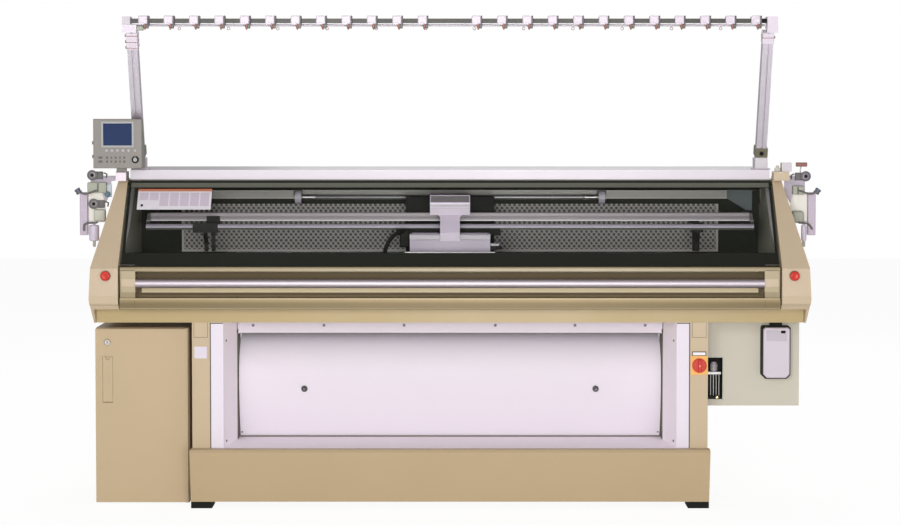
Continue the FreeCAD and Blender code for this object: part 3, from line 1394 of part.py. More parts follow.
def top_rail():
    """The dark rail across the posts with its corner blocks, and the thin bar that leads the threads."""
    body = new_body("top_rail")
    half = "top_rail_size / 2"
    add(body, "YZ", [box_points(f"rail_y - {half}", f"rail_y + {half}", f"rail_z - {half}", f"rail_z + {half}")],
        "0 - top_rail_half", "top_rail_half")
    bar = "thread_bar_size / 2"
    bar_z = f"(rail_z - {half} - thread_bar_size / 2 - 2)"
    bar_y = "(rail_y + post_size / 2 + thread_bar_size / 2 + thread_bar_gap)"
    front, back = "(rail_y - post_size / 2)", f"({bar_y} + {bar})"

    def corner(side, wide, high):
        """A block from the post's slanted end up to high, at one end of the rail."""
        outline = [(front, f"post_top_z + ({front} - rail_y) * tan(post_lean)"),
                   (back, f"post_top_z + ({back} - rail_y) * tan(post_lean)"),
                   (back, f"post_top_z + {high}"), (front, f"post_top_z + {high}")]
        low_x, high_x = span(side, f"top_rail_half + 3 - {wide}", "top_rail_half + 3")
        add(body, "YZ", [outline], low_x, high_x)

    corner(-1, "corner_plate", "corner_step")
    corner(-1, "corner_left", "corner_top")
    corner(1, "corner_right", "corner_top")
    add(body, "YZ", [box_points(f"{bar_y} - {bar}", f"{bar_y} + {bar}", f"{bar_z} - {bar}", f"{bar_z} + {bar}")],
        "0 - top_rail_half", "top_rail_half")


def tension_units():
    """Twenty-four tension units clamped on the rail, twelve on each side of its middle."""
    body = new_body("tension_units")
    half = "top_rail_size / 2"
    wide = "tension_width / 2"
    for side in (-1, 1):
        s = side_words(side)
        first = "tension_first" if side > 0 else "0 - tension_first - (tension_count - 1) * tension_pitch"
        clamp = [("rail_y - 24", f"rail_z - {half} - 8"), ("rail_y - 24", "rail_z + tension_height / 2"),
                 (f"rail_y + {half} + 6", "rail_z + tension_height / 2"), (f"rail_y + {half} + 6", f"rail_z + {half}"),
                 (f"rail_y - {half}", f"rail_z + {half}"), (f"rail_y - {half}", f"rail_z - {half} - 8")]
        block = add(body, "YZ", [clamp], f"{first} - {wide}", f"{first} + {wide}")
        repeat(body, block, "X", "tension_count", "tension_pitch")
        stem = add(body, "YZ", [box_points("rail_y - 22", "rail_y - 14", f"rail_z - {half} - 8 - tension_stem",
                                           f"rail_z - {half} - 8")], f"{first} + 2", f"{first} + 10")
        repeat(body, stem, "X", "tension_count", "tension_pitch")


# ---------------------------------------------------------------- side tension plates

def outward(side, value):
    """The X of a point of a side plate. value counts outwards, and the left plate stands further out."""
    return f"{side_words(side)}({value})" if side > 0 else f"0 - ({value} + plate_left_shift)"


def tension_plate(label, side):
    """The plate beside the machine: disc tensions, the boxes of two yarn arms, and a light column."""
    body = new_body(label)
    s = side_words(side)
    front, back = "(plate_back - plate_thick)", "plate_back"

    def at(out, up):
        return outward(side, f"plate_out + {out}"), f"plate_up + {up}"

    def box(out, up, wide, tall, deep):
        x, z = at(out, up)
        add(body, "XZ", [box_points(f"{x} - {wide} / 2", f"{x} + {wide} / 2", f"{z} - {tall} / 2",
                                    f"{z} + {tall} / 2")], f"{front} - {deep}", front)

    outline = [(f"{s}(cover_inner + 8)", "cover_top"), (f"{s}(cover_inner + 8)", "cover_top + 18"),
               at("60", "88"), at("60", "15"), at("column_out + column_wide / 2", "15"),
               at("column_out + column_wide / 2", "column_up - column_tall / 2"),
               at("column_out - column_wide / 2", "column_up - column_tall / 2"),
               at("column_out - column_wide / 2", "0 - 118"), at("0", "0 - 118"), at("0", "0 - 43"),
               at("0 - 31", "15"), (outward(side, "plate_out - 31"), "cover_top - 7"),
               (f"{s}(cover_inner + 46)", "cover_top")]
    add(body, "XZ", [outline], front, back)
    # boxes of the two arm units, the light column, and the drop guide with its stub
    box("arm_up_out", "arm_up_up", "84" if side < 0 else "50", "60" if side < 0 else "38", "arm_box_depth")
    box("26", "0 - 94", "52", "54", "arm_box_depth")
    box("column_out", "column_up", "column_wide", "column_tall", "22")
    guide, wide = ("46", "44") if side < 0 else ("57", "24")
    x, _ = at(guide, "0")
    middle = "plate_back - plate_thick / 2"
    add(body, "XZ", [box_points(f"{x} - 6", f"{x} + 6", "plate_up - 131", "plate_up - 118")], front, back)
    add(body, "XY", [polygon(x, middle, wide, 10)], "plate_up - 201", "plate_up - 131")
    add(body, "XY", [polygon(x, middle, "14", 6)], "plate_up - 228", "plate_up - 201")
    # disc tensions: a post, two discs and the arm of the guide beside them
    discs = [("60", "86")] if side > 0 else [("49", "91"), ("43", "0 - 36")]
    for out, up in discs:
        x, z = at(out, up)
        add(body, "XZ", [polygon(x, z, "disc_round", 14)], f"{front} - 22", f"{front} - 16")
        add(body, "XZ", [polygon(x, z, "disc_round - 20", 6)], f"{front} - 16", back)
        guide, _ = at(f"{out} - 46", up)
        low, high = (guide, x) if side > 0 else (x, guide)
        add(body, "XZ", [box_points(low, high, f"{z} - 18", f"{z} + 16")], f"{front} - 12", back)
    for out, up in (("arm_up_out", "arm_up_up"), ("arm_low_out", "arm_low_up")):
        x, z = at(out, up)
        cut(body, "XZ", [(x, z, "arm_pin_round + 2 * running_gap")], f"{front} - arm_box_depth",
            f"{front} - arm_box_depth + arm_pin_length")
    return body


def tension_arm(label, side, out, up, steps, end_round):
    """A bent yarn arm on a pin, with a roller or eye at its end. steps are (out, up) from the pin."""
    body = new_body(label)
    x = outward(side, f"plate_out + {out}")
    z = f"plate_up + {up}"
    back = "(plate_back - plate_thick - arm_box_depth - 1)"
    s = side_words(side)
    at = [(x, z)] + [(f"{x} + {s}({o})", f"{z} + {u}") for o, u in steps]
    for (x1, z1), (x2, z2) in zip(at, at[1:]):
        a, b = V(size(x1), size(z1), 0), V(size(x2), size(z2), 0)
        across = V(a.y - b.y, b.x - a.x, 0).normalize()
        dx, dz = f"{across.x:.4f} * arm_width / 2", f"{across.y:.4f} * arm_width / 2"
        bar = [(f"{x1} - {dx}", f"{z1} - {dz}"), (f"{x2} - {dx}", f"{z2} - {dz}"),
               (f"{x2} + {dx}", f"{z2} + {dz}"), (f"{x1} + {dx}", f"{z1} + {dz}")]
        add(body, "XZ", [bar], f"{back} - arm_thick", back)
    for px, pz in at[:-1]:
        add(body, "XZ", [polygon(px, pz, "arm_width + 1", 6)], f"{back} - arm_thick", back)
    add(body, "XZ", [polygon(at[-1][0], at[-1][1], end_round, 10)], f"{back} - arm_thick - 4", back)
    add(body, "XZ", [(x, z, "arm_pin_round")], back, f"{back} + arm_pin_length")


# ---------------------------------------------------------------- control panel

def panel_mount():
    """The swivelling block under the control panel, with a pin down into the cover and two ears."""
    body = new_body("panel_mount")
    at = "0 - panel_across"
    low = "cover_top + running_gap"
    add(body, "XY", [box_points(f"{at} - mount_width / 2", f"{at} + mount_width / 2",
                                "0 - panel_ahead - mount_depth / 2", "0 - pivot_ahead + pivot_round / 2 + 4")],
        low, "mount_top")
    add(body, "XY", [(at, "0 - pivot_ahead", "pivot_round")], "cover_top - pivot_length", low)
    for side in (-1, 1):
        s = side_words(side)
        near, far = f"{at} + {s}(ear_span / 2)", f"{at} + {s}(ear_span / 2 + ear_thick)"
        top = "tilt_z + ear_round / 2"
        ear = [("0 - panel_ahead - ear_round / 2", "mount_top"), ("0 - panel_ahead + ear_round / 2", "mount_top"),
               ("0 - panel_ahead + ear_round / 2", f"{top} - ear_bevel"),
               ("0 - panel_ahead + ear_round / 2 - ear_bevel", top),
               ("0 - panel_ahead - ear_round / 2 + ear_bevel", top),
               ("0 - panel_ahead - ear_round / 2", f"{top} - ear_bevel")]
        low_x, high_x = (far, near) if side < 0 else (near, far)
        add(body, "YZ", [ear], low_x, high_x)
        cut(body, "YZ", [("0 - panel_ahead", "tilt_z", "tilt_pin_round + 2 * running_gap")], low_x, high_x)


def panel_housing():
    """The grey housing of the control panel, deeper at its foot, with recesses for the screen and keys."""
    body = new_body("panel_housing")
    at = "0 - panel_middle"
    left, right = f"({at} - panel_width / 2)", f"({at} + panel_width / 2)"
    face, top = "panel_front", "panel_bottom + panel_height"
    side_view = [(face, "panel_bottom"), (f"{face} + panel_depth", "panel_bottom"),
                 (f"{face} + panel_depth", "panel_bottom + 24"), (f"{face} + panel_top_depth", top), (face, top)]
    add(body, "YZ", [side_view], left, right)
    soften(body, "3", lambda p, e: p.y < size("panel_front") + 0.1, "Chamfer")
    cut(body, "XZ", [box_points("screen_left", "screen_left + screen_glass_width", "screen_foot",
                                "screen_foot + screen_glass_height")], face, f"{face} + glass_recess")
    cut(body, "XZ", [box_points("mat_left", "mat_left + mat_width", "mat_foot", "mat_foot + mat_height")],
        face, f"{face} + mat_thick")
    cut(body, "XZ", [("dial_x", "dial_z", "dial_stem + 2 * running_gap")], face, f"{face} + dial_stem_length + 1")
    # lug between the ears, with the tilt pin
    lug = [("0 - panel_ahead - ear_round / 2 + 1", "panel_bottom + 2"),
           ("0 - panel_ahead - ear_round / 2 + 1", "tilt_z - ear_round / 2 + 1"),
           ("0 - panel_ahead + ear_round / 2 - 1", "tilt_z - ear_round / 2 + 1"),
           ("0 - panel_ahead + ear_round / 2 - 1", "panel_bottom + 2")]
    lug_half = "(ear_span / 2 - panel_gap / 2)"
    add(body, "YZ", [lug], f"0 - panel_across - {lug_half}", f"0 - panel_across + {lug_half}")
    add(body, "YZ", [("0 - panel_ahead", "tilt_z", "tilt_pin_round")],
        "0 - panel_across - ear_span / 2 - ear_thick", "0 - panel_across + ear_span / 2 + ear_thick")
    for up in ("port_low", "port_high"):
        add(body, "YZ", [polygon("0 - panel_ahead", f"panel_bottom + {up}", "16", 8)], f"{left} - 9", left)


def panel_screen():
    """The glass of the control panel's display."""
    body = new_body("panel_screen")
    add(body, "XZ", [box_points("screen_left", "screen_left + screen_glass_width", "screen_foot",
                                "screen_foot + screen_glass_height")],
        "panel_front + glass_recess - 3", "panel_front + glass_recess")


def panel_keys():
    """The key mat: five round keys over two rows of small ones, and a wide key at the left."""
    body = new_body("panel_keys")
    face = "panel_front"
    add(body, "XZ", [box_points("mat_left", "mat_left + mat_width", "mat_foot", "mat_foot + mat_height")],
        face, f"{face} + mat_thick")
    first = "0 - panel_middle - 2 * key_pitch"
    key = add(body, "XZ", [polygon(first, "panel_bottom + key_height", "key_round", 8)],
              f"{face} - key_proud", face)
    repeat(body, key, "X", "5", "key_pitch")
    for row in ("0", "small_key_row"):
        up = f"panel_bottom + small_key_height + {row}"
        key = add(body, "XZ", [box_points(f"{first} - small_key / 2", f"{first} + small_key / 2",
                                          f"{up} - small_key / 2", f"{up} + small_key / 2")],
                  f"{face} - key_proud / 2", face)
        repeat(body, key, "X", "5", "small_key_pitch")
        add(body, "XZ", [box_points(f"{first} - 34", f"{first} - 16", f"{up} - small_key / 2",
                                    f"{up} + small_key / 2")], f"{face} - key_proud / 2", face)


def panel_dial():
    """The round setting dial with a raised centre, on a stem in the housing."""
    body = new_body("panel_dial")
    face = "panel_front"
    add(body, "XZ", [polygon("dial_x", "dial_z", "dial_round", 18)], f"{face} - dial_thick",
        f"{face} - panel_gap / 2")
    add(body, "XZ", [polygon("dial_x", "dial_z", "dial_round / 2", 8)], f"{face} - dial_thick - 3",
        f"{face} - dial_thick")
    add(body, "XZ", [("dial_x", "dial_z", "dial_stem")], f"{face} - panel_gap / 2", f"{face} + dial_stem_length")


# ---------------------------------------------------------------- build

NODES = ("left_leg", "right_leg", "levelling_feet", "main_beam", "kick_panel", "chute_liner", "belly_panel",
         "cabinet_body", "cabinet_door", "door_handle", "control_rack", "service_box", "valve_bank", "lint_case",
         "switch_plate", "main_switch_knob", "front_channel", "operation_bar", "left_side_cover",
         "right_side_cover", "left_stop_button", "right_stop_button", "hood_frame", "hood_window", "yarn_table",
         "rear_cover", "back_wall", "perforated_screen", "front_needle_bed", "rear_needle_bed", "yarn_rails",
         "yarn_carrier_1", "yarn_carrier_2", "yarn_carrier_3", "yarn_carrier_4", "front_carriage",
         "rear_carriage", "carriage_bridge", "take_down_roller", "drive_pulley", "idler_pulley", "drive_belt",
         "drive_motor", "lamp_tube", "lamp_channel", "left_post", "right_post", "top_rail", "tension_units",
         "left_tension_plate", "right_tension_plate", "left_upper_arm", "left_lower_arm", "right_upper_arm",
         "right_lower_arm", "panel_mount", "panel_housing", "panel_screen", "panel_keys", "panel_dial")


def build():
    """Makes every sub-part."""
    for side, word in ((-1, "left"), (1, "right")):
        leg(f"{word}_leg", side)
        side_cover(f"{word}_side_cover", side)
        stop_button(f"{word}_stop_button", side)
        needle_bed(f"{'front' if side < 0 else 'rear'}_needle_bed", side)
        pulley("drive_pulley" if side < 0 else "idler_pulley", side)
        post(f"{word}_post", side)
        tension_plate(f"{word}_tension_plate", side)
        tension_arm(f"{word}_upper_arm", side, "arm_up_out", "arm_up_up", UPPER_STEPS, "28")
        tension_arm(f"{word}_lower_arm", side, "arm_low_out", "arm_low_up", LOWER_STEPS, "9")
    for make in (levelling_feet, main_beam, kick_panel, chute_liner, belly_panel, cabinet_body, cabinet_door,
                 door_handle, control_rack, service_box, valve_bank, lint_case, switch_plate, main_switch_knob,
                 front_channel, operation_bar, hood_frame, hood_window, yarn_table, rear_cover, back_wall,
                 perforated_screen, yarn_rails, front_carriage, rear_carriage, carriage_bridge,
                 take_down_roller, drive_belt, drive_motor, lamp_tube, lamp_channel, top_rail, tension_units,
                 panel_mount, panel_housing, panel_screen, panel_keys, panel_dial):
        make()
    for number, (at, wide) in enumerate(CARRIERS, 1):
        yarn_carrier(number, at, wide)


def export():
    """Checks the whole document and writes one STEP file for each sub-part."""
    for item in doc.Objects:
        if "Invalid" in item.State or "Error" in item.State:
            raise ValueError(f"{item.Name} ({item.Label}) failed: {item.State}")
    os.makedirs("parts", exist_ok=True)
    by_label = {item.Label: item for item in doc.Objects if hasattr(item, "Shape")}
    for name in NODES:
        shape = by_label[name].Shape
        if shape.isNull() or not shape.isValid() or not shape.Solids:
            raise ValueError(f"{name} has no valid solid")
        shape.exportStep(f"parts/{name}.step")


UPPER_STEPS = (("49", "0 - 15"), ("80", "0 - 3"))
LOWER_STEPS = (("44", "0 - 18"), ("56", "0 - 35"))
# where the four yarn carriers stand, and how wide each is
CARRIERS = (("0 - carrier_left_at", "110"), ("carrier_right_at", "46"),
            ("0 - carrier_left_at + carrier_left_step", "60"), ("carrier_right_at - carrier_right_step", "46"))
fill_sheet()
build()
doc.recompute()
export()
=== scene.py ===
"""Looks of the flat knitting machine: paints, steel, glass and the fine parts that its solids leave out."""

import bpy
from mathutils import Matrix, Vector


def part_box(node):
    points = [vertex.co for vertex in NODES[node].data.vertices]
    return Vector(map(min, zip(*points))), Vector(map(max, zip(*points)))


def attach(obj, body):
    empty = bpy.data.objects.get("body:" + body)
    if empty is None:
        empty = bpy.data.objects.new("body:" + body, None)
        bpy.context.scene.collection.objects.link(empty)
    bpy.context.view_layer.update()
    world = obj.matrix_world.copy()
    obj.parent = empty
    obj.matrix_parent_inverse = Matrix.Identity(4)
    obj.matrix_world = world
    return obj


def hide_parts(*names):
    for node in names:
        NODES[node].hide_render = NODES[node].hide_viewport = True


bl_info = {
    "name": "Flat Knitting Machine Looks",
    "version": (1, 0, 0),
    "blender": (4, 5, 0),
    "location": "View3D > Sidebar > Knitting",
    "description": "Finishes a flat knitting machine: paints, needles, perforated screen, screws and trims",
    "category": "Object",
}

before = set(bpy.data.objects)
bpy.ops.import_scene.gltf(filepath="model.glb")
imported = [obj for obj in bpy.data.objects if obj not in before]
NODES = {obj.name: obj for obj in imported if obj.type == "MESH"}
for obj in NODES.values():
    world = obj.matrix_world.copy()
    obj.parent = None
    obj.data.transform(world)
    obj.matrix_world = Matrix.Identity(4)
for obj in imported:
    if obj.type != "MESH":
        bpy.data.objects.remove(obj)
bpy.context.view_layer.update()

import math

import bmesh
import bpy
from mathutils import Matrix, Vector

SIDES = ((-1, "left"), (1, "right"))
FLAT = (0, 0, 0)
FORWARD, UP, DOWN = (0, -1, 0), (0, 0, 1), (0, 0, -1)


# ---------------------------------------------------------------- settings

def colour(label, about, value):
    return bpy.props.FloatVectorProperty(name=label, description=about, subtype="COLOR", size=3, min=0, max=1,
                                         default=value)


def distance(label, about, least, most, digits, value):
    return bpy.props.FloatProperty(name=label, description=about, unit="LENGTH", min=least, max=most,
                                   precision=digits, default=value)


class KnittingColours(bpy.types.PropertyGroup):
    """Colours of the machine's finishes."""
    cover: colour("Cover paint", "Gold-beige paint of the covers", (0.52, 0.41, 0.28))
    white: colour("White paint", "White paint of the fabric bin's panel", (0.76, 0.7, 0.77))
    hood: colour("Hood paint", "Near-black paint of the hood's frame", (0.016, 0.017, 0.013))
    carriage: colour("Carriage paint", "Silver paint of the carriage's bridge", (0.8, 0.7, 0.83))
    service: colour("Service box paint", "Pale paint of the box under the right end", (0.56, 0.52, 0.43))


class KnittingSizes(bpy.types.PropertyGroup):
    """Sizes of the fine parts."""
    needle_pitch: distance("Needle pitch", "Distance from needle to needle", 0.001, 0.02, 5, 0.00363)
    hole_pitch: distance("Hole pitch", "Distance from hole to hole along the screen", 0.01, 0.06, 4, 0.0226)
    hole_size: distance("Hole size", "Diameter of the screen's holes", 0.004, 0.03, 4, 0.0145)
    screw_size: distance("Screw head", "Diameter of the panel screws' heads", 0.004, 0.03, 4, 0.013)


# ---------------------------------------------------------------- mesh helpers

def finished(bm, name):
    """Makes an object from the bmesh, with its faces turned outwards."""
    bmesh.ops.recalc_face_normals(bm, faces=bm.faces)
    mesh = bpy.data.meshes.new(name)
    bm.to_mesh(mesh)
    bm.free()
    return linked(bpy.data.objects.new(name, mesh))


def linked(obj):
    bpy.context.scene.collection.objects.link(obj)
    return obj


def give(obj, body, material):
    """Sets a piece's material and the body it moves with."""
    obj.data.materials.clear()
    obj.data.materials.append(material)
    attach(obj, body)
    return obj


def drawn(name, forms, matrix=None):
    """An object of one or more forms. Each form is a drawing function and its values."""
    bm = bmesh.new()
    for draw, *values in forms:
        draw(bm, *values)
    if matrix:
        bmesh.ops.transform(bm, matrix=matrix, verts=bm.verts)
    return finished(bm, name)


def made(name, finish, slot, *forms, body="frame", matrix=None):
    """A visible piece of one or more forms, with its finish and body. Its slot is not used."""
    return give(drawn(name, forms, matrix), body, finish_named(finish))


def centre(low, high):
    return [(a + b) / 2 for a, b in zip(low, high)]


def add_block(bm, low, high, bevel=0.0):
    """A box between two corners, with its edges rounded."""
    low, high = Vector(low), Vector(high)
    new = bmesh.ops.create_cube(bm, size=1)["verts"]
    bmesh.ops.transform(bm, matrix=Matrix.Translation((low + high) / 2) @ Matrix.Diagonal((*(high - low), 1)),
                        verts=new)
    if bevel:
        edges = list({e for v in new for e in v.link_edges})
        bmesh.ops.bevel(bm, geom=edges, offset=bevel, segments=2, profile=0.5, affect="EDGES")


def block(x0, x1, y0, y1, z0, z1, bevel=0.0):
    """The form of a box. Its two sides may come in either order, so that a mirrored one needs no care."""
    return add_block, (min(x0, x1), y0, z0), (max(x0, x1), y1, z1), bevel


def around(x, z, wide, tall, y0, y1, bevel=0.0):
    """The form of a box that is centred on x and z."""
    return add_block, (x - wide / 2, y0, z - tall / 2), (x + wide / 2, y1, z + tall / 2), bevel


def frame_strips(low, high, border):
    """The four strips (x0, x1, z0, z1) inside the edges of a rectangle."""
    return ((low.x, high.x, low.z, low.z + border), (low.x, high.x, high.z - border, high.z),
            (low.x, low.x + border, low.z + border, high.z - border),
            (high.x - border, high.x, low.z + border, high.z - border))


def add_drum(bm, start, end, radius, sides=24):
    """A round bar from start to end."""
    start, end = Vector(start), Vector(end)
    axis = end - start
    turn = axis.to_track_quat("Z", "Y").to_matrix().to_4x4()
    bmesh.ops.create_cone(bm, cap_ends=True, segments=sides, radius1=radius, radius2=radius, depth=axis.length,
                          matrix=Matrix.Translation((start + end) / 2) @ turn)


def add_outline(bm, points, low, high, axis="Y"):
    """A flat outline given as (across, up) points, made solid from low to high along the axis."""
    place = {"Y": lambda a, b, c: (a, c, b), "X": lambda a, b, c: (c, a, b), "Z": lambda a, b, c: (a, b, c)}[axis]
    face = bm.faces.new([bm.verts.new(place(a, b, low)) for a, b in points])
    new = bmesh.ops.extrude_face_region(bm, geom=[face])["geom"]
    bmesh.ops.translate(bm, vec=place(0, 0, high - low), verts=[g for g in new if isinstance(g, bmesh.types.BMVert)])


def add_lathe(bm, start, axis, profile, sides=32):
    """A turned form. profile is (radius, distance from start along the axis), closed at both ends."""
    turn = Vector(axis).to_track_quat("Z", "Y").to_matrix()
    rings = []
    for radius, along in profile:
        count = sides if radius > 1e-6 else 1
        angles = [math.tau * i / sides for i in range(count)]
        rings.append([bm.verts.new(Vector(start) + turn @ Vector((radius * math.cos(a), radius * math.sin(a), along)))
                      for a in angles])
    for low, high in zip(rings, rings[1:]):
        for i in range(sides):
            j = (i + 1) % sides
            corners = [low[i % len(low)], low[j % len(low)], high[j % len(high)], high[i % len(high)]]
            bm.faces.new(list(dict.fromkeys(corners)))
    for ring in (rings[0], rings[-1]):
        if len(ring) > 1:
            bm.faces.new(ring)


def smooth_path(points, steps):
    """A Catmull-Rom curve through the points."""
    points = [Vector(p) for p in points]
    ends = [2 * points[0] - points[1], *points, 2 * points[-1] - points[-2]]
    path = []
    for a, b, c, d in zip(ends, ends[1:], ends[2:], ends[3:]):
        for t in (i / steps for i in range(steps)):
            path.append(0.5 * (2 * b + (c - a) * t + (2 * a - 5 * b + 4 * c - d) * t * t
                               + (3 * b - a - 3 * c + d) * t ** 3))
    return path + [points[-1]]


def add_tube(bm, path, radius, sides=12):
    """A round tube along the path, closed at both ends."""
    path = [Vector(p) for p in path]
    rings, across = [], None
    for i, point in enumerate(path):
        way = (path[min(i + 1, len(path) - 1)] - path[max(i - 1, 0)]).normalized()
        across = (across - way * across.dot(way)).normalized() if across else way.orthogonal().normalized()
        other = way.cross(across)
        rings.append([bm.verts.new(point + radius * (across * math.cos(math.tau * k / sides)
                                                     + other * math.sin(math.tau * k / sides)))
                      for k in range(sides)])
    for low, high in zip(rings, rings[1:]):
        for k in range(sides):
            bm.faces.new((low[k], low[(k + 1) % sides], high[(k + 1) % sides], high[k]))
    bm.faces.new(rings[0])
    bm.faces.new(rings[-1])


# ---------------------------------------------------------------- node trees

def fill(tree, nodes, links, **known):
    """Adds nodes, given as name: (kind, its attributes and inputs), and links "node.output>node.input, ..."."""
    for name, (kind, values) in nodes.items():
        known[name] = node = tree.nodes.new(tree.bl_idname[:-4] + kind)
        for key, value in values.items():
            if key in node.bl_rna.properties.keys():
                setattr(node, key, value)
            else:
                node.inputs[key].default_value = value
    for pair in links.split(", "):
        (source, out), (target, into) = (end.split(".") for end in pair.split(">"))
        tree.links.new(known[source].outputs[int(out) if out.isdigit() else out],
                       known[target].inputs[int(into) if into.isdigit() else into])
    return known


def new_group(name, kind, inputs, outputs, nodes, links):
    """A node group with sockets given as name: (type, default or None)."""
    tree = bpy.data.node_groups.new(name, kind)
    for side, sockets in (("INPUT", inputs), ("OUTPUT", outputs)):
        for socket, (sort, value) in sockets.items():
            new = tree.interface.new_socket(socket, in_out=side, socket_type=f"NodeSocket{sort}")
            if value is not None:
                new.default_value = value
    fill(tree, nodes, links, start=tree.nodes.new("NodeGroupInput"), end=tree.nodes.new("NodeGroupOutput"))
    return tree


def repeat_tree(name, inputs, nodes, links):
    """A tree that makes copies, turns them into one mesh and gives it a material."""
    sockets = {"Geometry": ("Geometry", None)}
    given = {socket: (sort, None) for socket, sort in inputs.items()}
    return new_group(name, "GeometryNodeTree", {**sockets, **given, "Material": ("Material", None)}, sockets,
                     {**nodes, "copies": ("InstanceOnPoints", {}), "solid": ("RealizeInstances", {}),
                      "paint": ("SetMaterial", {})},
                     links + ", copies.Instances>solid.Geometry, start.Material>paint.Material, "
                             "paint.Geometry>end.Geometry")


def scatter_tree():
    """Places a copy of one part on every point, turned by the points' own angles."""
    return repeat_tree(
        "place_parts", {"Part": "Object", "Size": "Float"},
        {"part": ("ObjectInfo", {}), "turn": ("InputNamedAttribute", {"data_type": "FLOAT_VECTOR", "Name": "turn"})},
        "start.Part>part.Object, start.Geometry>copies.Points, part.Geometry>copies.Instance, "
        "turn.Attribute>copies.Rotation, start.Size>copies.Scale, solid.Geometry>paint.Geometry")


def row_tree():
    """Repeats one part along a line: Count copies, Step apart."""
    return repeat_tree(
        "row_of_parts", {"Count": "Int", "Step": "Vector"},
        {"line": ("MeshLine", {}), "weld": ("MergeByDistance", {"Distance": 0.00002})},
        "start.Count>line.Count, start.Step>line.Offset, line.Mesh>copies.Points, start.Geometry>copies.Instance, "
        "solid.Geometry>weld.Geometry, weld.Geometry>paint.Geometry")


def run_tree(obj, tree, **values):
    """Runs a node tree on the object and keeps the result as its plain mesh."""
    modifier = obj.modifiers.new("repeat", "NODES")
    modifier.node_group = tree
    for item in tree.interface.items_tree:
        if item.in_out == "INPUT" and item.name in values:
            modifier[item.identifier] = values[item.name]
    graph = bpy.context.evaluated_depsgraph_get()
    graph.update()
    mesh = bpy.data.meshes.new_from_object(obj.evaluated_get(graph), preserve_all_data_layers=True, depsgraph=graph)
    obj.modifiers.clear()
    obj.data = mesh
    return obj


def scattered(name, part, places, finish, size=1.0):
    """A piece with one copy of the part at each (point, turn), where turn is an Euler angle."""
    mesh = bpy.data.meshes.new(name)
    mesh.from_pydata([p for p, _ in places], [], [])
    turn = mesh.attributes.new("turn", "FLOAT_VECTOR", "POINT")
    for i, (_, angle) in enumerate(places):
        turn.data[i].vector = angle
    obj = linked(bpy.data.objects.new(name, mesh))
    tree = bpy.data.node_groups.get("place_parts") or scatter_tree()
    run_tree(obj, tree, Part=part, Size=size, Material=finish_named(finish))
    if "turn" in obj.data.attributes:
        obj.data.attributes.remove(obj.data.attributes["turn"])
    return give(obj, "frame", finish_named(finish))


def rowed(obj, count, step, finish):
    """The object's mesh again and again, count times, a step apart."""
    tree = bpy.data.node_groups.get("row_of_parts") or row_tree()
    return run_tree(obj, tree, Count=count, Step=step, Material=finish_named(finish))


def forget(*objects):
    for obj in objects:
        mesh = obj.data
        bpy.data.objects.remove(obj)
        bpy.data.meshes.remove(mesh)


# ---------------------------------------------------------------- shader groups

def finish_group(name, roughness, inputs, nodes, links):
    """A shader group that gives a Color, a Roughness and a Height for a bump. links feed shade, rough and height."""
    floats = {socket: ("Float", value) for socket, value in {"Roughness": roughness, **inputs}.items()}
    return new_group(
        name, "ShaderNodeTree", {"Color": ("Color", (0.5, 0.5, 0.5, 1)), **floats},
        {"Color": ("Color", None), "Roughness": ("Float", None), "Height": ("Float", None)},
        {"where": ("TexCoord", {}), **nodes, "tinted": ("VectorMath", {"operation": "SCALE"}),
         "height": ("Math", {"operation": "MULTIPLY"})},
        links + ", start.Color>tinted.0, shade.0>tinted.Scale, start.Roughness>rough.2, start.Relief>height.1, "
                "tinted.0>end.Color, rough.0>end.Roughness, height.0>end.Height")


def sprayed_group():
    """Paint that isn't quite even: soft patches, fine grain, and a low bump like sprayed enamel."""
    return finish_group(
        "sprayed_paint", 0.4, {"Patches": 0.05, "Grain": 700.0, "Relief": 0.0002},
        {"patches": ("TexNoise", {"Scale": 2.3, "Detail": 4}), "grain": ("TexNoise", {"Detail": 2}),
         "centred": ("Math", {"operation": "SUBTRACT", 1: 0.5}),
         "shade": ("Math", {"operation": "MULTIPLY_ADD", 2: 1.0}),
         "rough": ("Math", {"operation": "MULTIPLY_ADD", 1: 0.25})},
        "where.Object>patches.Vector, where.Object>grain.Vector, start.Grain>grain.Scale, patches.Fac>centred.0, "
        "centred.0>shade.0, start.Patches>shade.1, centred.0>rough.0, grain.Fac>height.0")


def brushed_group():
    """Metal with fine lines along X, as ground rails and extruded bars have."""
    return finish_group(
        "brushed_metal", 0.3, {"Lines": 0.12, "Relief": 0.00003},
        {"stretch": ("Mapping", {"Scale": (6, 900, 900)}), "lines": ("TexNoise", {"Scale": 1, "Detail": 3}),
         "shade": ("MapRange", {"To Min": 0.9, "To Max": 1.1}),
         "rough": ("Math", {"operation": "MULTIPLY_ADD"})},
        "where.Object>stretch.Vector, stretch.Vector>lines.Vector, lines.Fac>shade.Value, "
        "lines.Fac>rough.0, start.Lines>rough.1, lines.Fac>height.0")


# ---------------------------------------------------------------- materials

def base_material(name, **sockets):
    """A new material with its Principled BSDF, whose plain sockets are set by name."""
    material = bpy.data.materials.new(name)
    material.use_nodes = True
    shader = material.node_tree.nodes["Principled BSDF"]
    for socket, value in sockets.items():
        shader.inputs[socket.replace("_", " ")].default_value = value
    return material, shader


def join_group(material, shader, group, values):
    """Places a shader group in the material and feeds the shader's colour, roughness and bump from it."""
    values["Color"] = (*values["Color"], 1)
    fill(material.node_tree, {"group": ("Group", {"node_tree": group, **values}),
                              "bump": ("Bump", {"Distance": 1.0, "Strength": 0.6})},
         "group.Color>shader.Base Color, group.Roughness>shader.Roughness, group.Height>bump.Height, "
         "bump.Normal>shader.Normal", shader=shader)
    return material


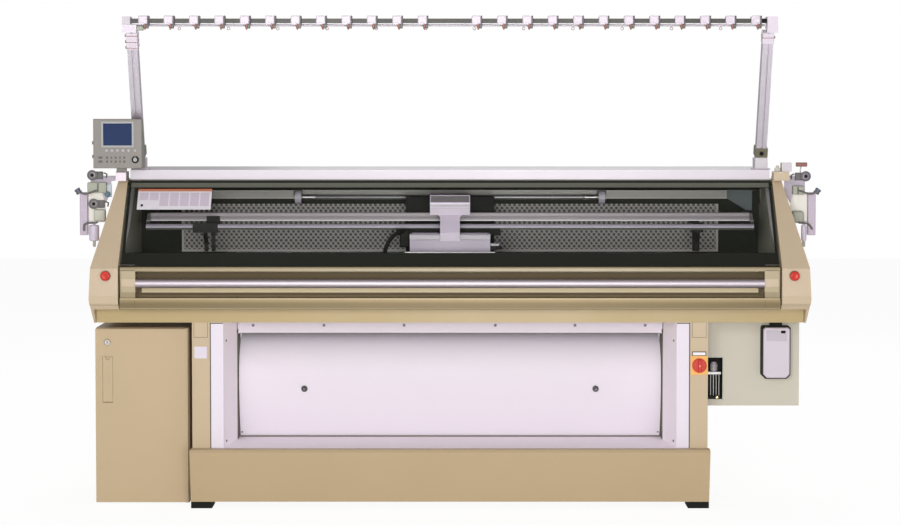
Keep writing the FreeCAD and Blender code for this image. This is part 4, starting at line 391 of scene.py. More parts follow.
def paint(name, colour, roughness, patches, grain=500.0, relief=0.0002, gloss=0.5):
    """Sprayed paint, enamel or moulded plastic."""
    group = bpy.data.node_groups.get("sprayed_paint") or sprayed_group()
    return join_group(*base_material(name, Specular_IOR_Level=gloss), group,
                      {"Color": colour, "Roughness": roughness, "Patches": patches, "Grain": grain, "Relief": relief})


def metal(name, colour, roughness, lines, relief=0.00003):
    """Ground or brushed bare metal."""
    group = bpy.data.node_groups.get("brushed_metal") or brushed_group()
    return join_group(*base_material(name, Metallic=1.0), group,
                      {"Color": colour, "Roughness": roughness, "Lines": lines, "Relief": relief})


def clear_window(name):
    """The hood's clear sheet: nearly invisible, with a faint dark body and a clean gloss."""
    material, shader = base_material(name, Alpha=0.05, IOR=1.3, Specular_IOR_Level=0.06,
                                     Base_Color=(0.02, 0.022, 0.02, 1))
    fill(material.node_tree, {"where": ("TexCoord", {}), "smears": ("TexNoise", {"Scale": 3}),
                              "haze": ("MapRange", {"To Min": 0.03, "To Max": 0.1})},
         "where.Object>smears.Vector, smears.Fac>haze.Value, haze.0>shader.Roughness", shader=shader)
    return material


def striped(name, *bands):
    """Steel with level bands of colour along it: painted highlights and shade lines, with the parts' own tones. bands
    are (height in m where the band starts, colour), from below.
    """
    material, shader = base_material(name, Metallic=0.3, Roughness=0.45)
    bottom, top = bands[0][0], bands[-1][0] + 0.01
    nodes = fill(material.node_tree, {
        "where": ("TexCoord", {}), "parts": ("SeparateXYZ", {}), "ramp": ("ValToRGB", {}),
        "height": ("MapRange", {"From Min": bottom, "From Max": top})},
        "where.Object>parts.0, parts.Z>height.Value, height.0>ramp.Fac, ramp.Color>shader.Base Color", shader=shader)
    ramp = nodes["ramp"].color_ramp
    ramp.interpolation = "CONSTANT"
    while len(ramp.elements) < len(bands):
        ramp.elements.new(1.0)
    for stop, (start, colour) in zip(ramp.elements, bands):
        stop.position = (start - bottom) / (top - bottom)
        stop.color = (*colour, 1)
    return material


# finish, material's name, red, green, blue, roughness, unevenness, and where they differ, grain and relief
PAINTS = """
cabinet cabinet_paint 0.5 0.38 0.23 0.42 0.05
leg leg_paint 0.5 0.385 0.245 0.42 0.05
kick kick_paint 0.46 0.345 0.205 0.42 0.06
beam beam_paint 0.42 0.312 0.14 0.4 0.06
channel gold_anodised 0.33 0.262 0.15 0.36 0.04 900 0.0001
channel_dark recess_shade 0.11 0.08 0.04 0.6 0.1
table table_paint 0.65 0.595 0.645 0.35 0.02
liner liner_paint 0.97 0.9 0.97 0.5 0.03
jamb jamb_paint 0.74 0.68 0.76 0.5 0.03
bolt bolt_zinc 0.2 0.18 0.2 0.4 0.05
hood_face hood_face_paint 0.11 0.112 0.09 0.4 0.15 300 0.0001
housing housing_paint 0.33 0.28 0.36 0.34 0.04
head_face head_face_paint 0.5 0.44 0.52 0.4 0.04
screen screen_paint 0.48 0.467 0.44 0.45 0.1
dark_room inner_wall_paint 0.03 0.033 0.024 0.7 0.2
carriage_top carriage_slope_paint 0.2 0.185 0.19 0.3 0.1
black black_plastic 0.012 0.012 0.01 0.55 0.2 900
dark dark_plastic 0.016 0.016 0.014 0.5 0.2 900
rubber black_rubber 0.02 0.02 0.02 0.7 0.3 1200 0.0004
grey panel_plastic 0.24 0.217 0.197 0.45 0.06 1400 0.0003
key key_rubber 0.46 0.42 0.43 0.55 0.04
display display_glass 0.026 0.044 0.115 0.08 0.3 40 0.0
red red_plastic 0.56 0.03 0.018 0.3 0.08
yellow yellow_plastic 0.8 0.4 0.07 0.4 0.06
lint lint_case_plastic 0.61 0.545 0.62 0.3 0.04
olive rail_paint 0.055 0.049 0.04 0.45 0.12
pearl pale_plastic 0.72 0.64 0.72 0.35 0.06
lavender bracket_paint 0.48 0.42 0.5 0.4 0.06
sage sage_paint 0.36 0.37 0.3 0.45 0.08
lamp lamp_tube_glass 0.14 0.14 0.135 0.25 0.03
socket lamp_socket_plastic 0.5 0.46 0.52 0.4 0.05
board board_lacquer 0.05 0.17 0.08 0.35 0.3 200 0.0004
paper label_paper 0.8 0.76 0.8 0.6 0.05
orange label_orange 0.72 0.24 0.13 0.6 0.1
print label_print 0.66 0.56 0.66 0.6 0.1
gap shadow_gap 0.1 0.08 0.05 0.6 0.1
knob knob_plastic 0.055 0.048 0.048 0.25 0.1
lining cover_lining 0.36 0.36 0.3 0.45 0.25
strip hinge_strip_paint 0.16 0.14 0.11 0.5 0.1
olive_dark clamp_paint 0.14 0.13 0.085 0.45 0.12
pearl_grey foot_paint 0.58 0.54 0.58 0.42 0.05
rust brown_plastic 0.3 0.13 0.1 0.42 0.12
rust_pale eyelet_ceramic 0.5 0.36 0.38 0.35 0.08
cap cap_plastic 0.12 0.11 0.11 0.42 0.12
face_grey disc_face 0.22 0.2 0.21 0.35 0.1
lilac column_plastic 0.52 0.44 0.53 0.35 0.04
lilac_dark roller_plastic 0.22 0.19 0.24 0.4 0.05
ivory ivory_plastic 0.8 0.77 0.7 0.42 0.04
sage_pale pale_sage_paint 0.52 0.52 0.44 0.45 0.06
teal teal_plastic 0.07 0.16 0.2 0.38 0.2
blush blush_plastic 0.8 0.68 0.76 0.38 0.04
bezel bezel_plastic 0.36 0.36 0.35 0.42 0.05
small_key small_key_rubber 0.1 0.09 0.09 0.5 0.05
canister canister_plastic 0.74 0.66 0.78 0.38 0.04
flap flap_plastic 0.56 0.62 0.7 0.4 0.05
roller yarn_roller_rubber 0.11 0.12 0.15 0.4 0.05
leg_label leg_label_paper 0.66 0.6 0.68 0.6 0.05
screen_back screen_back_paint 0.16 0.155 0.14 0.6 0.1
corner corner_paint 0.075 0.1 0.1 0.5 0.1
lining_light cover_lining_light 0.85 0.84 0.82 0.45 0.15
recess_light recess_light_paint 0.6 0.49 0.3 0.5 0.1
recess_strip end_block_paint 0.42 0.34 0.21 0.5 0.1
silver_edge silver_edge 0.44 0.41 0.44 0.45 0.05
lint_dark lint_lid_plastic 0.5 0.45 0.52 0.35 0.05
"""
# specular level of the paints that are duller than most
GLOSS = {"channel_dark": 0.2, "white": 0.2, "liner": 0.3, "jamb": 0.2, "hood_face": 0.2, "hood": 0.12,
         "dark_room": 0.1, "black": 0.1, "dark": 0.14, "display": 0.3, "red": 0.3, "lining": 0.2, "screen_back": 0.1}
METALS = {
    "bed": ("bed_steel", (0.5, 0.5, 0.5), 0.3, 0.2),
    "needle": ("needle_steel", (0.72, 0.71, 0.7), 0.22, 0.1),
    "bar": ("bar_chrome", (0.54, 0.48, 0.52), 0.5, 0.08),
    "alloy": ("anodised_alloy", (0.66, 0.61, 0.67), 0.36, 0.1),
    "brass": ("valve_brass", (0.55, 0.45, 0.26), 0.3, 0.2),
    "bar_bright": ("guard_bar_steel", (0.8, 0.78, 0.76), 0.24, 0.08),
    "tube_silver": ("tube_nickel", (0.4, 0.4, 0.39), 0.3, 0.1),
    "brass_bright": ("polished_brass", (0.85, 0.66, 0.3), 0.25, 0.1),
    "lock_metal": ("lock_steel", (0.5, 0.48, 0.45), 0.3, 0.1),
}
STRIPED = {
    # painted highlight and shade on the channel's rounded nose: lit on top, darker towards the bottom
    "nose": ("nose_lines", (0.877, (0.15, 0.108, 0.045)), (0.896, (0.18, 0.13, 0.055)),
             (0.903, (0.24, 0.178, 0.085)), (0.912, (0.35, 0.27, 0.15))),
    # the lamp channel's bands: painted shade on its lower part and a painted highlight along the foot of its front wall
    "lamp_rail": ("lamp_rail_lines", (1.2951, (0.03, 0.034, 0.022)), (1.3181, (0.27, 0.265, 0.232)),
                  (1.3225, (0.195, 0.19, 0.168)), (1.351, (0.225, 0.22, 0.198))),
    # the rails' own tones, with a painted shade line along the foot of each rail and painted highlights on their lit
    # faces
    "rail": ("rail_steel_lines", (1.192, (0.03, 0.03, 0.024)), (1.2005, (0.38, 0.36, 0.41)),
             (1.2065, (0.175, 0.162, 0.2)), (1.214, (0.11, 0.084, 0.096)), (1.228, (0.45, 0.43, 0.435)),
             (1.2328, (0.18, 0.16, 0.17)), (1.249, (0.225, 0.202, 0.212)), (1.261, (0.13, 0.105, 0.11))),
}
NODE_FINISH = {
    "cover": "left_side_cover right_side_cover rear_cover", "leg": "left_leg right_leg",
    "cabinet": "cabinet_body cabinet_door door_handle", "kick": "kick_panel", "beam": "main_beam",
    "channel": "front_channel", "bar": "operation_bar", "white": "belly_panel", "liner": "chute_liner",
    "table": "yarn_table", "hood": "hood_frame", "window": "hood_window", "screen": "perforated_screen",
    "dark_room": "back_wall", "bed": "front_needle_bed rear_needle_bed", "rail": "yarn_rails",
    "carriage": "carriage_bridge", "housing": "front_carriage", "black": "rear_carriage drive_motor levelling_feet",
    "dark": "yarn_carrier_1 yarn_carrier_2 yarn_carrier_3 yarn_carrier_4 left_upper_arm left_lower_arm "
            "right_upper_arm right_lower_arm panel_dial",
    "rubber": "take_down_roller drive_belt", "alloy": "drive_pulley idler_pulley left_post right_post",
    "grey": "panel_housing panel_mount", "key": "panel_keys", "display": "panel_screen",
    "red": "main_switch_knob left_stop_button right_stop_button", "yellow": "switch_plate",
    "service": "service_box", "lint": "lint_case", "olive": "top_rail", "pearl": "tension_units",
    "lavender": "left_tension_plate right_tension_plate", "lamp": "lamp_tube", "lamp_rail": "lamp_channel",
    "board": "control_rack", "brass": "valve_bank",
}
MATERIAL_NAMES = {}


def finish_named(name):
    return bpy.data.materials[MATERIAL_NAMES[name]]


class KNITTING_OT_finishes(bpy.types.Operator):
    """Paints every node that keeps its own shape."""
    bl_idname = "knitting.finishes"
    bl_label = "Finishes"

    def execute(self, context):
        colours = context.scene.knitting_colours
        chosen = {
            "cover": ("cover_paint", colours.cover, 0.38, 0.05),
            "white": ("white_paint", colours.white, 0.6, 0.03),
            "hood": ("hood_paint", colours.hood, 0.35, 0.2, 300, 0.0001),
            "carriage": ("carriage_paint", colours.carriage, 0.34, 0.04, 400, 0.00015),
            "service": ("service_paint", colours.service, 0.42, 0.04),
        }
        for line in PAINTS.strip().splitlines():
            name, label, *values = line.split()
            values = [float(value) for value in values]
            chosen[name] = (label, values[:3], *values[3:])
        made_of = {name: paint(*values, gloss=GLOSS.get(name, 0.5)) for name, values in chosen.items()}
        made_of.update({name: metal(*values) for name, values in METALS.items()})
        made_of.update({name: striped(*values) for name, values in STRIPED.items()}, window=clear_window("hood_sheet"))
        MATERIAL_NAMES.update({name: material.name for name, material in made_of.items()})
        for name, nodes in NODE_FINISH.items():
            for node in nodes.split():
                for slot in NODES[node].material_slots:
                    slot.material = finish_named(name)
        return {"FINISHED"}


# ---------------------------------------------------------------- bed and screen

BED_SLOPE = math.radians(40)
BED_THICK = 0.03


class KNITTING_OT_beds(bpy.types.Operator):
    """Replaces both needle beds: a slab, and the close row of needles with their hooks and butts."""
    bl_idname = "knitting.beds"
    bl_label = "Needle beds"

    def execute(self, context):
        pitch = context.scene.knitting_sizes.needle_pitch
        for node, side in (("front_needle_bed", -1), ("rear_needle_bed", 1)):
            low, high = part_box(node)
            edge = Vector((0, high.y if side < 0 else low.y, high.z))
            along = Vector((0, side * math.cos(BED_SLOPE), -math.sin(BED_SLOPE)))
            up = Vector((0, side * math.sin(BED_SLOPE), math.cos(BED_SLOPE)))
            length = (high.z - low.z - BED_THICK * math.cos(BED_SLOPE)) / math.sin(BED_SLOPE)
            corners = [edge, edge + along * length, edge + along * length - up * BED_THICK,
                       edge - Vector((0, 0, BED_THICK / math.cos(BED_SLOPE)))]
            slab = made(node.replace("needle_bed", "bed_slab"), "bed", "bed_steel",
                        (add_outline, [(c.y, c.z) for c in corners], low.x, high.x, "X"))
            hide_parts(node)
            turn = Matrix((Vector((1, 0, 0)), along, up)).transposed().to_4x4()
            first = Matrix.Translation(edge + Vector((low.x + 0.012, 0, 0)))
            bm = bmesh.new()
            # stem, hook, and the two butts that the cams push, from the gate down the slope
            for begin, stop, bottom, top in ((-0.004, 0.15, -0.001, 0.0016), (-0.01, -0.003, -0.001, 0.0006),
                                             (0.06, 0.066, 0.001, 0.0042), (0.11, 0.115, 0.001, 0.0036)):
                verts = bmesh.ops.create_cube(bm, size=1)["verts"]
                size = Vector((0.0011, stop - begin, top - bottom))
                at = Matrix.Translation(Vector((0, (begin + stop) / 2, (top + bottom) / 2)))
                bmesh.ops.transform(bm, matrix=first @ turn @ at @ Matrix.Diagonal((*size, 1)), verts=verts)
            needles = rowed(finished(bm, node.replace("needle_bed", "needles")),
                            int((high.x - low.x - 0.02) / pitch), (pitch, 0, 0), "needle")
            give(needles, "frame", finish_named("needle"))
        return {"FINISHED"}


def screen_cell(wide, tall, hole, thick, place):
    """One cell of the perforated sheet: a whole hole in its middle and a quarter hole at each corner."""
    bm = bmesh.new()
    radius, steps = hole / 2, 3

    def arc(x, z, turns):
        return [bm.verts.new((x + radius * math.cos(math.tau * t), 0, z + radius * math.sin(math.tau * t)))
                for t in turns]

    outer = []
    for x, z, start in ((wide / 2, -tall / 2, 0.5), (wide / 2, tall / 2, 0.75), (-wide / 2, tall / 2, 0.0),
                        (-wide / 2, -tall / 2, 0.25)):
        outer += arc(x, z, [start + 0.25 - 0.25 * i / steps for i in range(steps + 1)])
    inner = arc(0, 0, [i / (4 * steps) for i in range(4 * steps)])
    edges = [bm.edges.new(pair) for loop in (outer, inner) for pair in zip(loop, loop[1:] + loop[:1])]
    bmesh.ops.triangle_fill(bm, use_beauty=True, use_dissolve=False, edges=edges)
    flat = list(bm.faces)

    def on_border(edge, axis, half):
        a, b = (v.co[axis] for v in edge.verts)
        return abs(abs(a) - half) < 1e-7 and abs(a - b) < 1e-7

    holes = [e for e in bm.edges if len(e.link_faces) == 1
             and not on_border(e, 0, wide / 2) and not on_border(e, 2, tall / 2)]
    walls = bmesh.ops.extrude_edge_only(bm, edges=holes)["geom"]
    bmesh.ops.translate(bm, vec=(0, thick, 0), verts=[g for g in walls if isinstance(g, bmesh.types.BMVert)])
    back = bmesh.ops.duplicate(bm, geom=flat)["geom"]
    bmesh.ops.translate(bm, vec=(0, thick, 0), verts=[g for g in back if isinstance(g, bmesh.types.BMVert)])
    bmesh.ops.remove_doubles(bm, verts=bm.verts, dist=1e-6)
    bmesh.ops.translate(bm, vec=place, verts=bm.verts)
    return finished(bm, "perforated_sheet")


class KNITTING_OT_screen(bpy.types.Operator):
    """Replaces the plain screen by a sheet with its full pattern of round holes and its flanges."""
    bl_idname = "knitting.screen"
    bl_label = "Perforated screen"

    def execute(self, context):
        sizes = context.scene.knitting_sizes
        low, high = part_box("perforated_screen")
        border, thick, rows = 0.011, 0.002, 8
        columns = int((high.x - low.x - 2 * border) / sizes.hole_pitch)
        wide = (high.x - low.x - 2 * border) / columns
        tall = (high.z - low.z - 2 * border) / rows
        sheet = screen_cell(wide, tall, sizes.hole_size, thick,
                            (low.x + border + wide / 2, low.y, low.z + border + tall / 2))
        rowed(sheet, columns, (wide, 0, 0), "screen")
        rowed(sheet, rows, (0, 0, tall), "screen")
        give(sheet, "frame", finish_named("screen"))
        made("screen_rim", "screen", "lamp_grey",
             *[block(x0, x1, low.y, low.y + thick, z0, z1) for x0, x1, z0, z1 in frame_strips(low, high, border)],
             *[block(low.x, high.x, low.y + thick, high.y, z, z + thick) for z in (low.z, high.z - thick)])
        # painted shade: a dark strip over the screen's top edge and its top flange
        made("screen_shade", "dark_room", "lamp_grey",
             block(low.x, high.x, low.y - 0.0012, low.y - 0.0002, 1.2925, high.z + 0.0058))
        made("screen_backing", "screen_back", "lamp_grey",
             block(low.x + 0.003, high.x - 0.003, high.y - 0.006, high.y - 0.005, low.z + 0.003, high.z - 0.003))
        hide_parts("perforated_screen")
        return {"FINISHED"}


# ---------------------------------------------------------------- bin and channel

class KNITTING_OT_bin(bpy.types.Operator):
    """Adds the fabric bin's screws and pull knobs, painted shade on its front faces, and the dark gaps and painted
    shadow lines at its edges.
    """
    bl_idname = "knitting.bin"
    bl_label = "Fabric bin"

    def execute(self, context):
        size = context.scene.knitting_sizes.screw_size
        # a round pan head with a cross recess, a unit across, facing the operator
        head = drawn("screw_head", (
            (add_lathe, FLAT, FORWARD, ((0.5, 0), (0.5, 0.1), (0.42, 0.22), (0.2, 0.28)), 14),
            block(-0.22, 0.22, -0.3, -0.27, -0.05, 0.05), block(-0.05, 0.05, -0.3, -0.27, -0.22, 0.22)))
        liner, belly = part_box("chute_liner"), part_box("belly_panel")
        foot, roof, face = liner[0].z + 0.004, liner[1].z, liner[0].y
        strip_y, leg, beyond = -0.1146, 1.031, 1.0355
        mouth, back = liner[1].x - 0.058, belly[1].x + 0.005
        turn, small, seams, jamb_shades = math.atan2(-(strip_y - 0.004 - face), mouth - back), [], [], []
        for side, _ in SIDES:
            # screws on the splayed wall, just inside its mouth, and one in the panel's corner
            x, y = side * (mouth * 0.8 + back * 0.2 - 0.0004), face * 0.8 + strip_y * 0.2
            small += [((x, y, z), (0, 0, side * turn)) for z in (0.7226, 0.286)]
            small.append(((side * (belly[1].x - 0.008), -0.0288, 0.285), FLAT))
            # dark seams: jamb to leg; painted shadow lines: jamb to beam, and wall to panel below and above the strip's
            # edge
            for x0, x1, *rest in ((leg, beyond, face - 0.0008, face - 0.0001, foot, roof - 0.001),
                                  (mouth, beyond, face - 0.0007, face - 0.0001, roof - 0.006, roof - 0.0015),
                                  (back - 0.0012, back - 0.0002, -0.1085, 0.03, foot, roof - 0.006),
                                  (back - 0.0024, back - 0.0002, -0.118, -0.1086, roof - 0.07, roof - 0.001)):
                seams.append(block(side * x0, side * x1, *rest))
            # painted shade: a darker copy of the liner's white on each jamb's front face
            jamb_shades.append(block(side * (mouth + 0.0005), side * (leg - 0.0002), face - 0.0006, face - 0.0001,
                               foot, roof - 0.0062))
        places = [((x, strip_y, roof - 0.0356), FLAT) for x in (-0.87, -0.557, -0.203, 0.2, 0.552, 0.862)]
        scattered("bin_screws", head, places, "bolt", size)
        scattered("corner_screws", head, small, "black", size * 0.75)
        forget(head)
        # the line under the strip is painted shadow
        made("bin_seams", "gap", "panel_white",
             block(-0.931, 0.931, strip_y - 0.0009, strip_y + 0.0001, roof - 0.0718, roof - 0.069),
             block(-belly[1].x, belly[1].x, -0.034, -0.031, foot + 0.0008, foot + 0.0055), *seams)
        # painted shade: a darker copy of the liner's white on the strip's face and the jambs' fronts, which face the
        # light more than the walls
        made("strip_face", "jamb", "panel_white",
             block(-0.9345, 0.9345, strip_y + 0.0001, strip_y + 0.0005, roof - 0.0688, roof - 0.0005))
        made("jamb_faces", "jamb", "panel_white", *jamb_shades)
        rim = ((0.0128, 0), (0.0142, 0.0012), (0.0142, 0.0044), (0.012, 0.006), (0.0085, 0.006), (0.007, 0.0042),
               (0.0, 0.0036))
        knob_y, knob_z = belly[0].y + 0.0022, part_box("kick_panel")[1].z + 0.223
        made("pull_knobs", "knob", "dark_plastic",
             *[(add_lathe, (side * 0.646, knob_y, knob_z), FORWARD, rim) for side, _ in SIDES])
        return {"FINISHED"}


class KNITTING_OT_channel(bpy.types.Operator):
    """Adds the front channel's seams, stepped end plates, painted shade and light in its recess and on its nose, and
    the legs' plate gaps.
    """
    bl_idname = "knitting.channel"
    bl_label = "Front channel"

    def execute(self, context):
        low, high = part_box("front_channel")
        axis_z = centre(*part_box("operation_bar"))[2]
        half, wall = high.x - 0.0645, high.y - 0.055
        floor, ceiling = low.z + 0.052, low.z + 0.166
        seams, ends, plates = [], [], {"recess_strip": [], "cover": []}
        for side, _ in SIDES:
            inner = side * (high.x - 0.064)
            # the block's top and bottom seams, and its short upright seam under the recess
            seams += [block(inner, side * high.x, low.y + 0.0074, low.y + 0.0082, z, z + 0.0022)
                      for z in (axis_z + 0.056, axis_z + 0.079)]
            seams.append(block(inner - 0.0012, inner + 0.0012, low.y - 0.0012, low.y + 0.0006,
                               low.z + 0.012, low.z + 0.04))
            # painted shade at each end of the recess
            ends.append(block(side * (high.x - 0.0655), side * (high.x - 0.0845), wall - 0.0045, wall - 0.0024,
                              floor + 0.004, ceiling - 0.004))
            for finish, z0, z1 in (("recess_strip", 0.021, 0.0545), ("cover", -0.013, 0.0205),
                                   ("recess_strip", -0.037, -0.0135)):
                plates[finish].append(block(side * (high.x - 0.066), side * (high.x - 0.006), low.y + 0.0068,
                                            low.y + 0.0079, axis_z + z0, axis_z + z1))
        made("channel_seams", "gap", "channel_gold", *seams)
        # the recess behind the bar: painted shade above it and on the floor, and a strip of painted light below it
        made("recess_shade", "channel_dark", "channel_gold",
             block(-half, half, wall - 0.0022, wall - 0.0002, axis_z - 0.012, ceiling - 0.008),
             block(-half, half, wall - 0.0022, wall - 0.0002, floor + 0.0014, floor + 0.018),
             block(-half, half, low.y + 0.016, wall - 0.008, floor + 0.0002, floor + 0.0012))
        # painted highlight and shade on the nose: bands lighter on top, darker below
        made("channel_nose", "nose", "channel_gold",
             block(-high.x + 0.001, high.x - 0.001, low.y - 0.0007, low.y - 0.0001, low.z + 0.0105, low.z + 0.0515))
        # painted light: the lit strip of the recess wall under the bar
        made("recess_strip", "recess_light", "channel_gold",
             block(-half, half, wall - 0.0022, wall - 0.0002, floor + 0.0182, axis_z - 0.0122))
        made("recess_ends", "channel_dark", "channel_gold", *ends)
        for finish, forms in plates.items():
            made(f"end_block_{finish}", finish, "channel_gold", *forms)
        for _, word in SIDES:
            leg_low, leg_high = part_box(f"{word}_leg")
            x, front, top = (leg_low.x + leg_high.x) / 2, leg_low.y, leg_high.z
            made(f"{word}_plate_gap", "gap", "cover_cream", *[
                block(x + x0, x + x1, front + 0.0016, front + 0.0024, top + z0, top + z1) for x0, x1, z0, z1 in (
                    (-0.0305, -0.029, -0.064, -0.0005), (0.029, 0.0305, -0.064, -0.0005),
                    (-0.0305, 0.0305, -0.0652, -0.0636))])
        return {"FINISHED"}


# ---------------------------------------------------------------- hood

class KNITTING_OT_stops(bpy.types.Operator):
    """Replaces the two stop buttons with rounded mushroom heads that are dished in front."""
    bl_idname = "knitting.stops"
    bl_label = "Stop buttons"

    def execute(self, context):
        for _, word in SIDES:
            low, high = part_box(f"{word}_stop_button")
            x, _, z = centre(low, high)
            radius, deep = (high.x - low.x) / 2, high.y - low.y
            # (how far inside the rim, how far behind the front)
            dish = [(radius - inset, deep - behind) for inset, behind in (
                (0.002, 0.016), (0, 0.0135), (0, 0.008), (0.0015, 0.003), (0.0045, 0.0004), (0.0065, 0),
                (0.0085, 0.0012))]
            head = made(f"{word}_stop_head", "red", "stop_red",
                        (add_lathe, (x, high.y, z), FORWARD,
                         ((0.007, 0), (0.007, deep - 0.017), *dish, (0, deep - 0.0026)), 40), body=f"{word}_stop")
            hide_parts(f"{word}_stop_button")
            made(f"{word}_stop_ring", "gap", "cover_cream",
                 (add_lathe, (x, low.y + 0.0198, z), FORWARD,
                  ((radius + 0.0012, 0), (radius + 0.0012, 0.0008), (radius - 0.004, 0.0008), (radius - 0.004, 0)), 40))
        return {"FINISHED"}


class KNITTING_OT_hood(bpy.types.Operator):
    """Adds the blank card behind the hood's sheet, the side covers' lining, the lamp's ends and the hinge strip."""
    bl_idname = "knitting.hood"
    bl_label = "Hood"

    def execute(self, context):
        low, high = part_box("hood_window")
        slope = Vector((0, high.y - low.y, high.z - low.z)).normalized()
        out = Vector((0, -slope.z, slope.y))
        base = Vector((0, low.y + 0.003, low.z))
        left, right, foot, head, top = -1.3685, -1.0455, 0.222, 0.3165, 0.329

        def sheet(x0, x1, begin, stop, depth):
            """A thin sheet parallel to the window, its front face the given depth behind it."""
            corners = [base + slope * along - out * back for along, back in
                       ((begin, depth), (stop, depth), (stop, depth + 0.0006), (begin, depth + 0.0006))]
            return add_outline, [(c.y, c.z) for c in corners], x0, x1, "X"

        # seven blank columns stand for the card's print, as fields of colour
        wide = (right - left - 0.012) / 7
        columns = [sheet(left + 0.008 + wide * k, left + 0.002 + wide * (k + 1), foot + (0.048 if k < 2 else 0.018),
                         head - 0.008, 0.0028) for k in range(7)]
        for name, finish, slot, *forms in (
                ("card_sheet", "paper", "panel_white", sheet(left, right, foot, head, 0.0035)),
                ("card_head", "orange", "panel_white", sheet(left, right, head, top, 0.0035)),
                # painted light on the frame's top member: a paler copy of its near-black paint, in front of the frame
                ("hood_top_face", "hood_face", "hood_black", sheet(-1.398, 1.398, 0.3235, 0.347, -0.018)),
                ("card_print", "print", "panel_white", *columns),
                ("card_mark", "black", "panel_white",
                 sheet(left + 0.016, left + 0.026, foot + 0.016, foot + 0.027, 0.0028))):
            made(name, finish, slot, *forms, body="hood")
        inner = abs(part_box("left_side_cover")[1].x)
        lining = [(-0.338, 1.063), (0.221, 1.063), (0.221, 1.294), (0.138, 1.294), (0.138, 1.402), (-0.108, 1.402)]
        band = [(-0.108, 1.4), (0.055, 1.4), (-0.12, 1.21), (-0.33, 1.068), (-0.337, 1.064)]
        for side, word in SIDES:
            made(f"{word}_lining", "lining", "cover_cream",
                 (add_outline, lining, side * (inner - 0.004), side * (inner - 0.0002), "X"))
            made(f"{word}_lining_band", "lining_light", "cover_cream",
                 (add_outline, band, side * (inner - 0.0052), side * (inner - 0.0041), "X"))
        made("corner_sheet", "corner", "lamp_grey",
             (add_outline, [(1.262, 1.355), (1.377, 1.355), (1.377, 1.264), (1.35, 1.264), (1.262, 1.318)],
              0.188, 0.1905))
        # painted shade: a dark strip beside the corner sheet
        made("corner_shade", "dark_room", "lamp_grey", block(1.3775, 1.412, 0.188, 0.1905, 1.296, 1.355))
        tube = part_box("lamp_tube")
        end, (_, lamp_y, lamp_z) = tube[1].x, centre(*tube)
        made("lamp_sockets", "socket", "lamp_white",
             *[(add_lathe, (side * end, lamp_y, lamp_z), (side, 0, 0),
                ((0.012, 0), (0.027, 0), (0.03, 0.004), (0.03, 0.03), (0.027, 0.0372), (0.0295, 0.0372)), 28)
               for side, _ in SIDES])
        for name, finish, begin, stop, radius in (("lamp_caps", "tube_silver", 0.002, 0.06, 0.012),
                                                  ("lamp_rings", "cap", 0.06, 0.067, 0.0132)):
            made(name, finish, "lamp_white",
                 *[(add_drum, (side * (end - begin), lamp_y, lamp_z), (side * (end - stop), lamp_y, lamp_z),
                    radius, 28) for side, _ in SIDES])
        low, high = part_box("yarn_table")
        made("hinge_strip", "strip", "hood_black",
             block(low.x + 0.004, high.x - 0.004, low.y + 0.004, low.y + 0.014, low.z - 0.0055, low.z - 0.0002))
        return {"FINISHED"}


# ---------------------------------------------------------------- yarn stand

POST_LEAN = math.radians(19.5)


def slotted_square(size, slot, lip, deep, inner):
    """The outline of an extruded square with a T-slot in each face, one quarter after another."""
    half, s, w = size / 2, slot / 2, inner / 2
    quarter = [(s, half), (s, half - lip), (w, half - lip), (w, half - deep), (-w, half - deep), (-w, half - lip),
               (-s, half - lip), (-s, half), (-half, half)]
    return [tuple(Matrix.Rotation(math.pi / 2 * k, 2) @ Vector(p)) for k in range(4) for p in quarter]


class KNITTING_OT_stand(bpy.types.Operator):
    """Replaces the posts of the yarn stand with slotted ones, and adds their clamps, feet and collars."""
    bl_idname = "knitting.stand"
    bl_label = "Yarn stand posts"

    def execute(self, context):
        for side, word in SIDES:
            low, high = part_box(f"{word}_post")
            foot_high = 0.062
            # origin on the yarn table, Z along the post
            lean = (Matrix.Translation(((low.x + high.x) / 2, high.y - 0.024, low.z))
                    @ Matrix.Rotation(POST_LEAN, 4, "X"))
            length = (high.z - low.z - 0.0225 * math.sin(POST_LEAN)) / math.cos(POST_LEAN)
            bar = made(f"{word}_post_bar", "alloy", "post_aluminium",
                       (add_outline, slotted_square(0.045, 0.008, 0.003, 0.008, 0.016), 0.012, length, "Z"),
                       matrix=lean)
            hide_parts(f"{word}_post")
            made(f"{word}_post_clamp", "olive_dark", "post_aluminium",
                 block(-0.028, 0.028, -0.028, 0.028, foot_high + 0.002, 0.108, 0.003), matrix=lean)
            made(f"{word}_clamp_screw", "black", "dark_plastic",
                 (add_lathe, (0, -0.028, 0.086), FORWARD,
                  ((0.009, 0), (0.009, 0.005), (0.007, 0.006), (0, 0.006)), 20), matrix=lean)
            made(f"{word}_post_foot", "pearl_grey", "post_aluminium",
                 block(low.x, high.x, high.y - 0.074, high.y, low.z, low.z + foot_high - 0.008, 0.004),
                 block(low.x - 0.006, high.x + 0.012, high.y - 0.08, high.y + 0.006, low.z, low.z + 0.006, 0.002))
            # collar round the post's head, with its ring lines and the bolts at its outer side
            top = length - 0.004
            made(f"{word}_collar", "pearl", "tension_white",
                 block(-0.025, 0.025, -0.025, 0.025, top - (0.074 if side < 0 else 0.05), top, 0.003), matrix=lean)
            rings = []
            for down in (0.012, 0.04, 0.066) if side < 0 else (0.02,):
                rings += [block(-0.0256, 0.0256, -0.0256, 0.0256, top - down - 0.0012, top - down + 0.0012),
                          (add_drum, (side * 0.024, 0.0, top - down - 0.004), (side * 0.032, 0.0, top - down - 0.004),
                           0.006, 14)]
            made(f"{word}_collar_rings", "rust", "tension_white", *rings, matrix=lean)
        return {"FINISHED"}


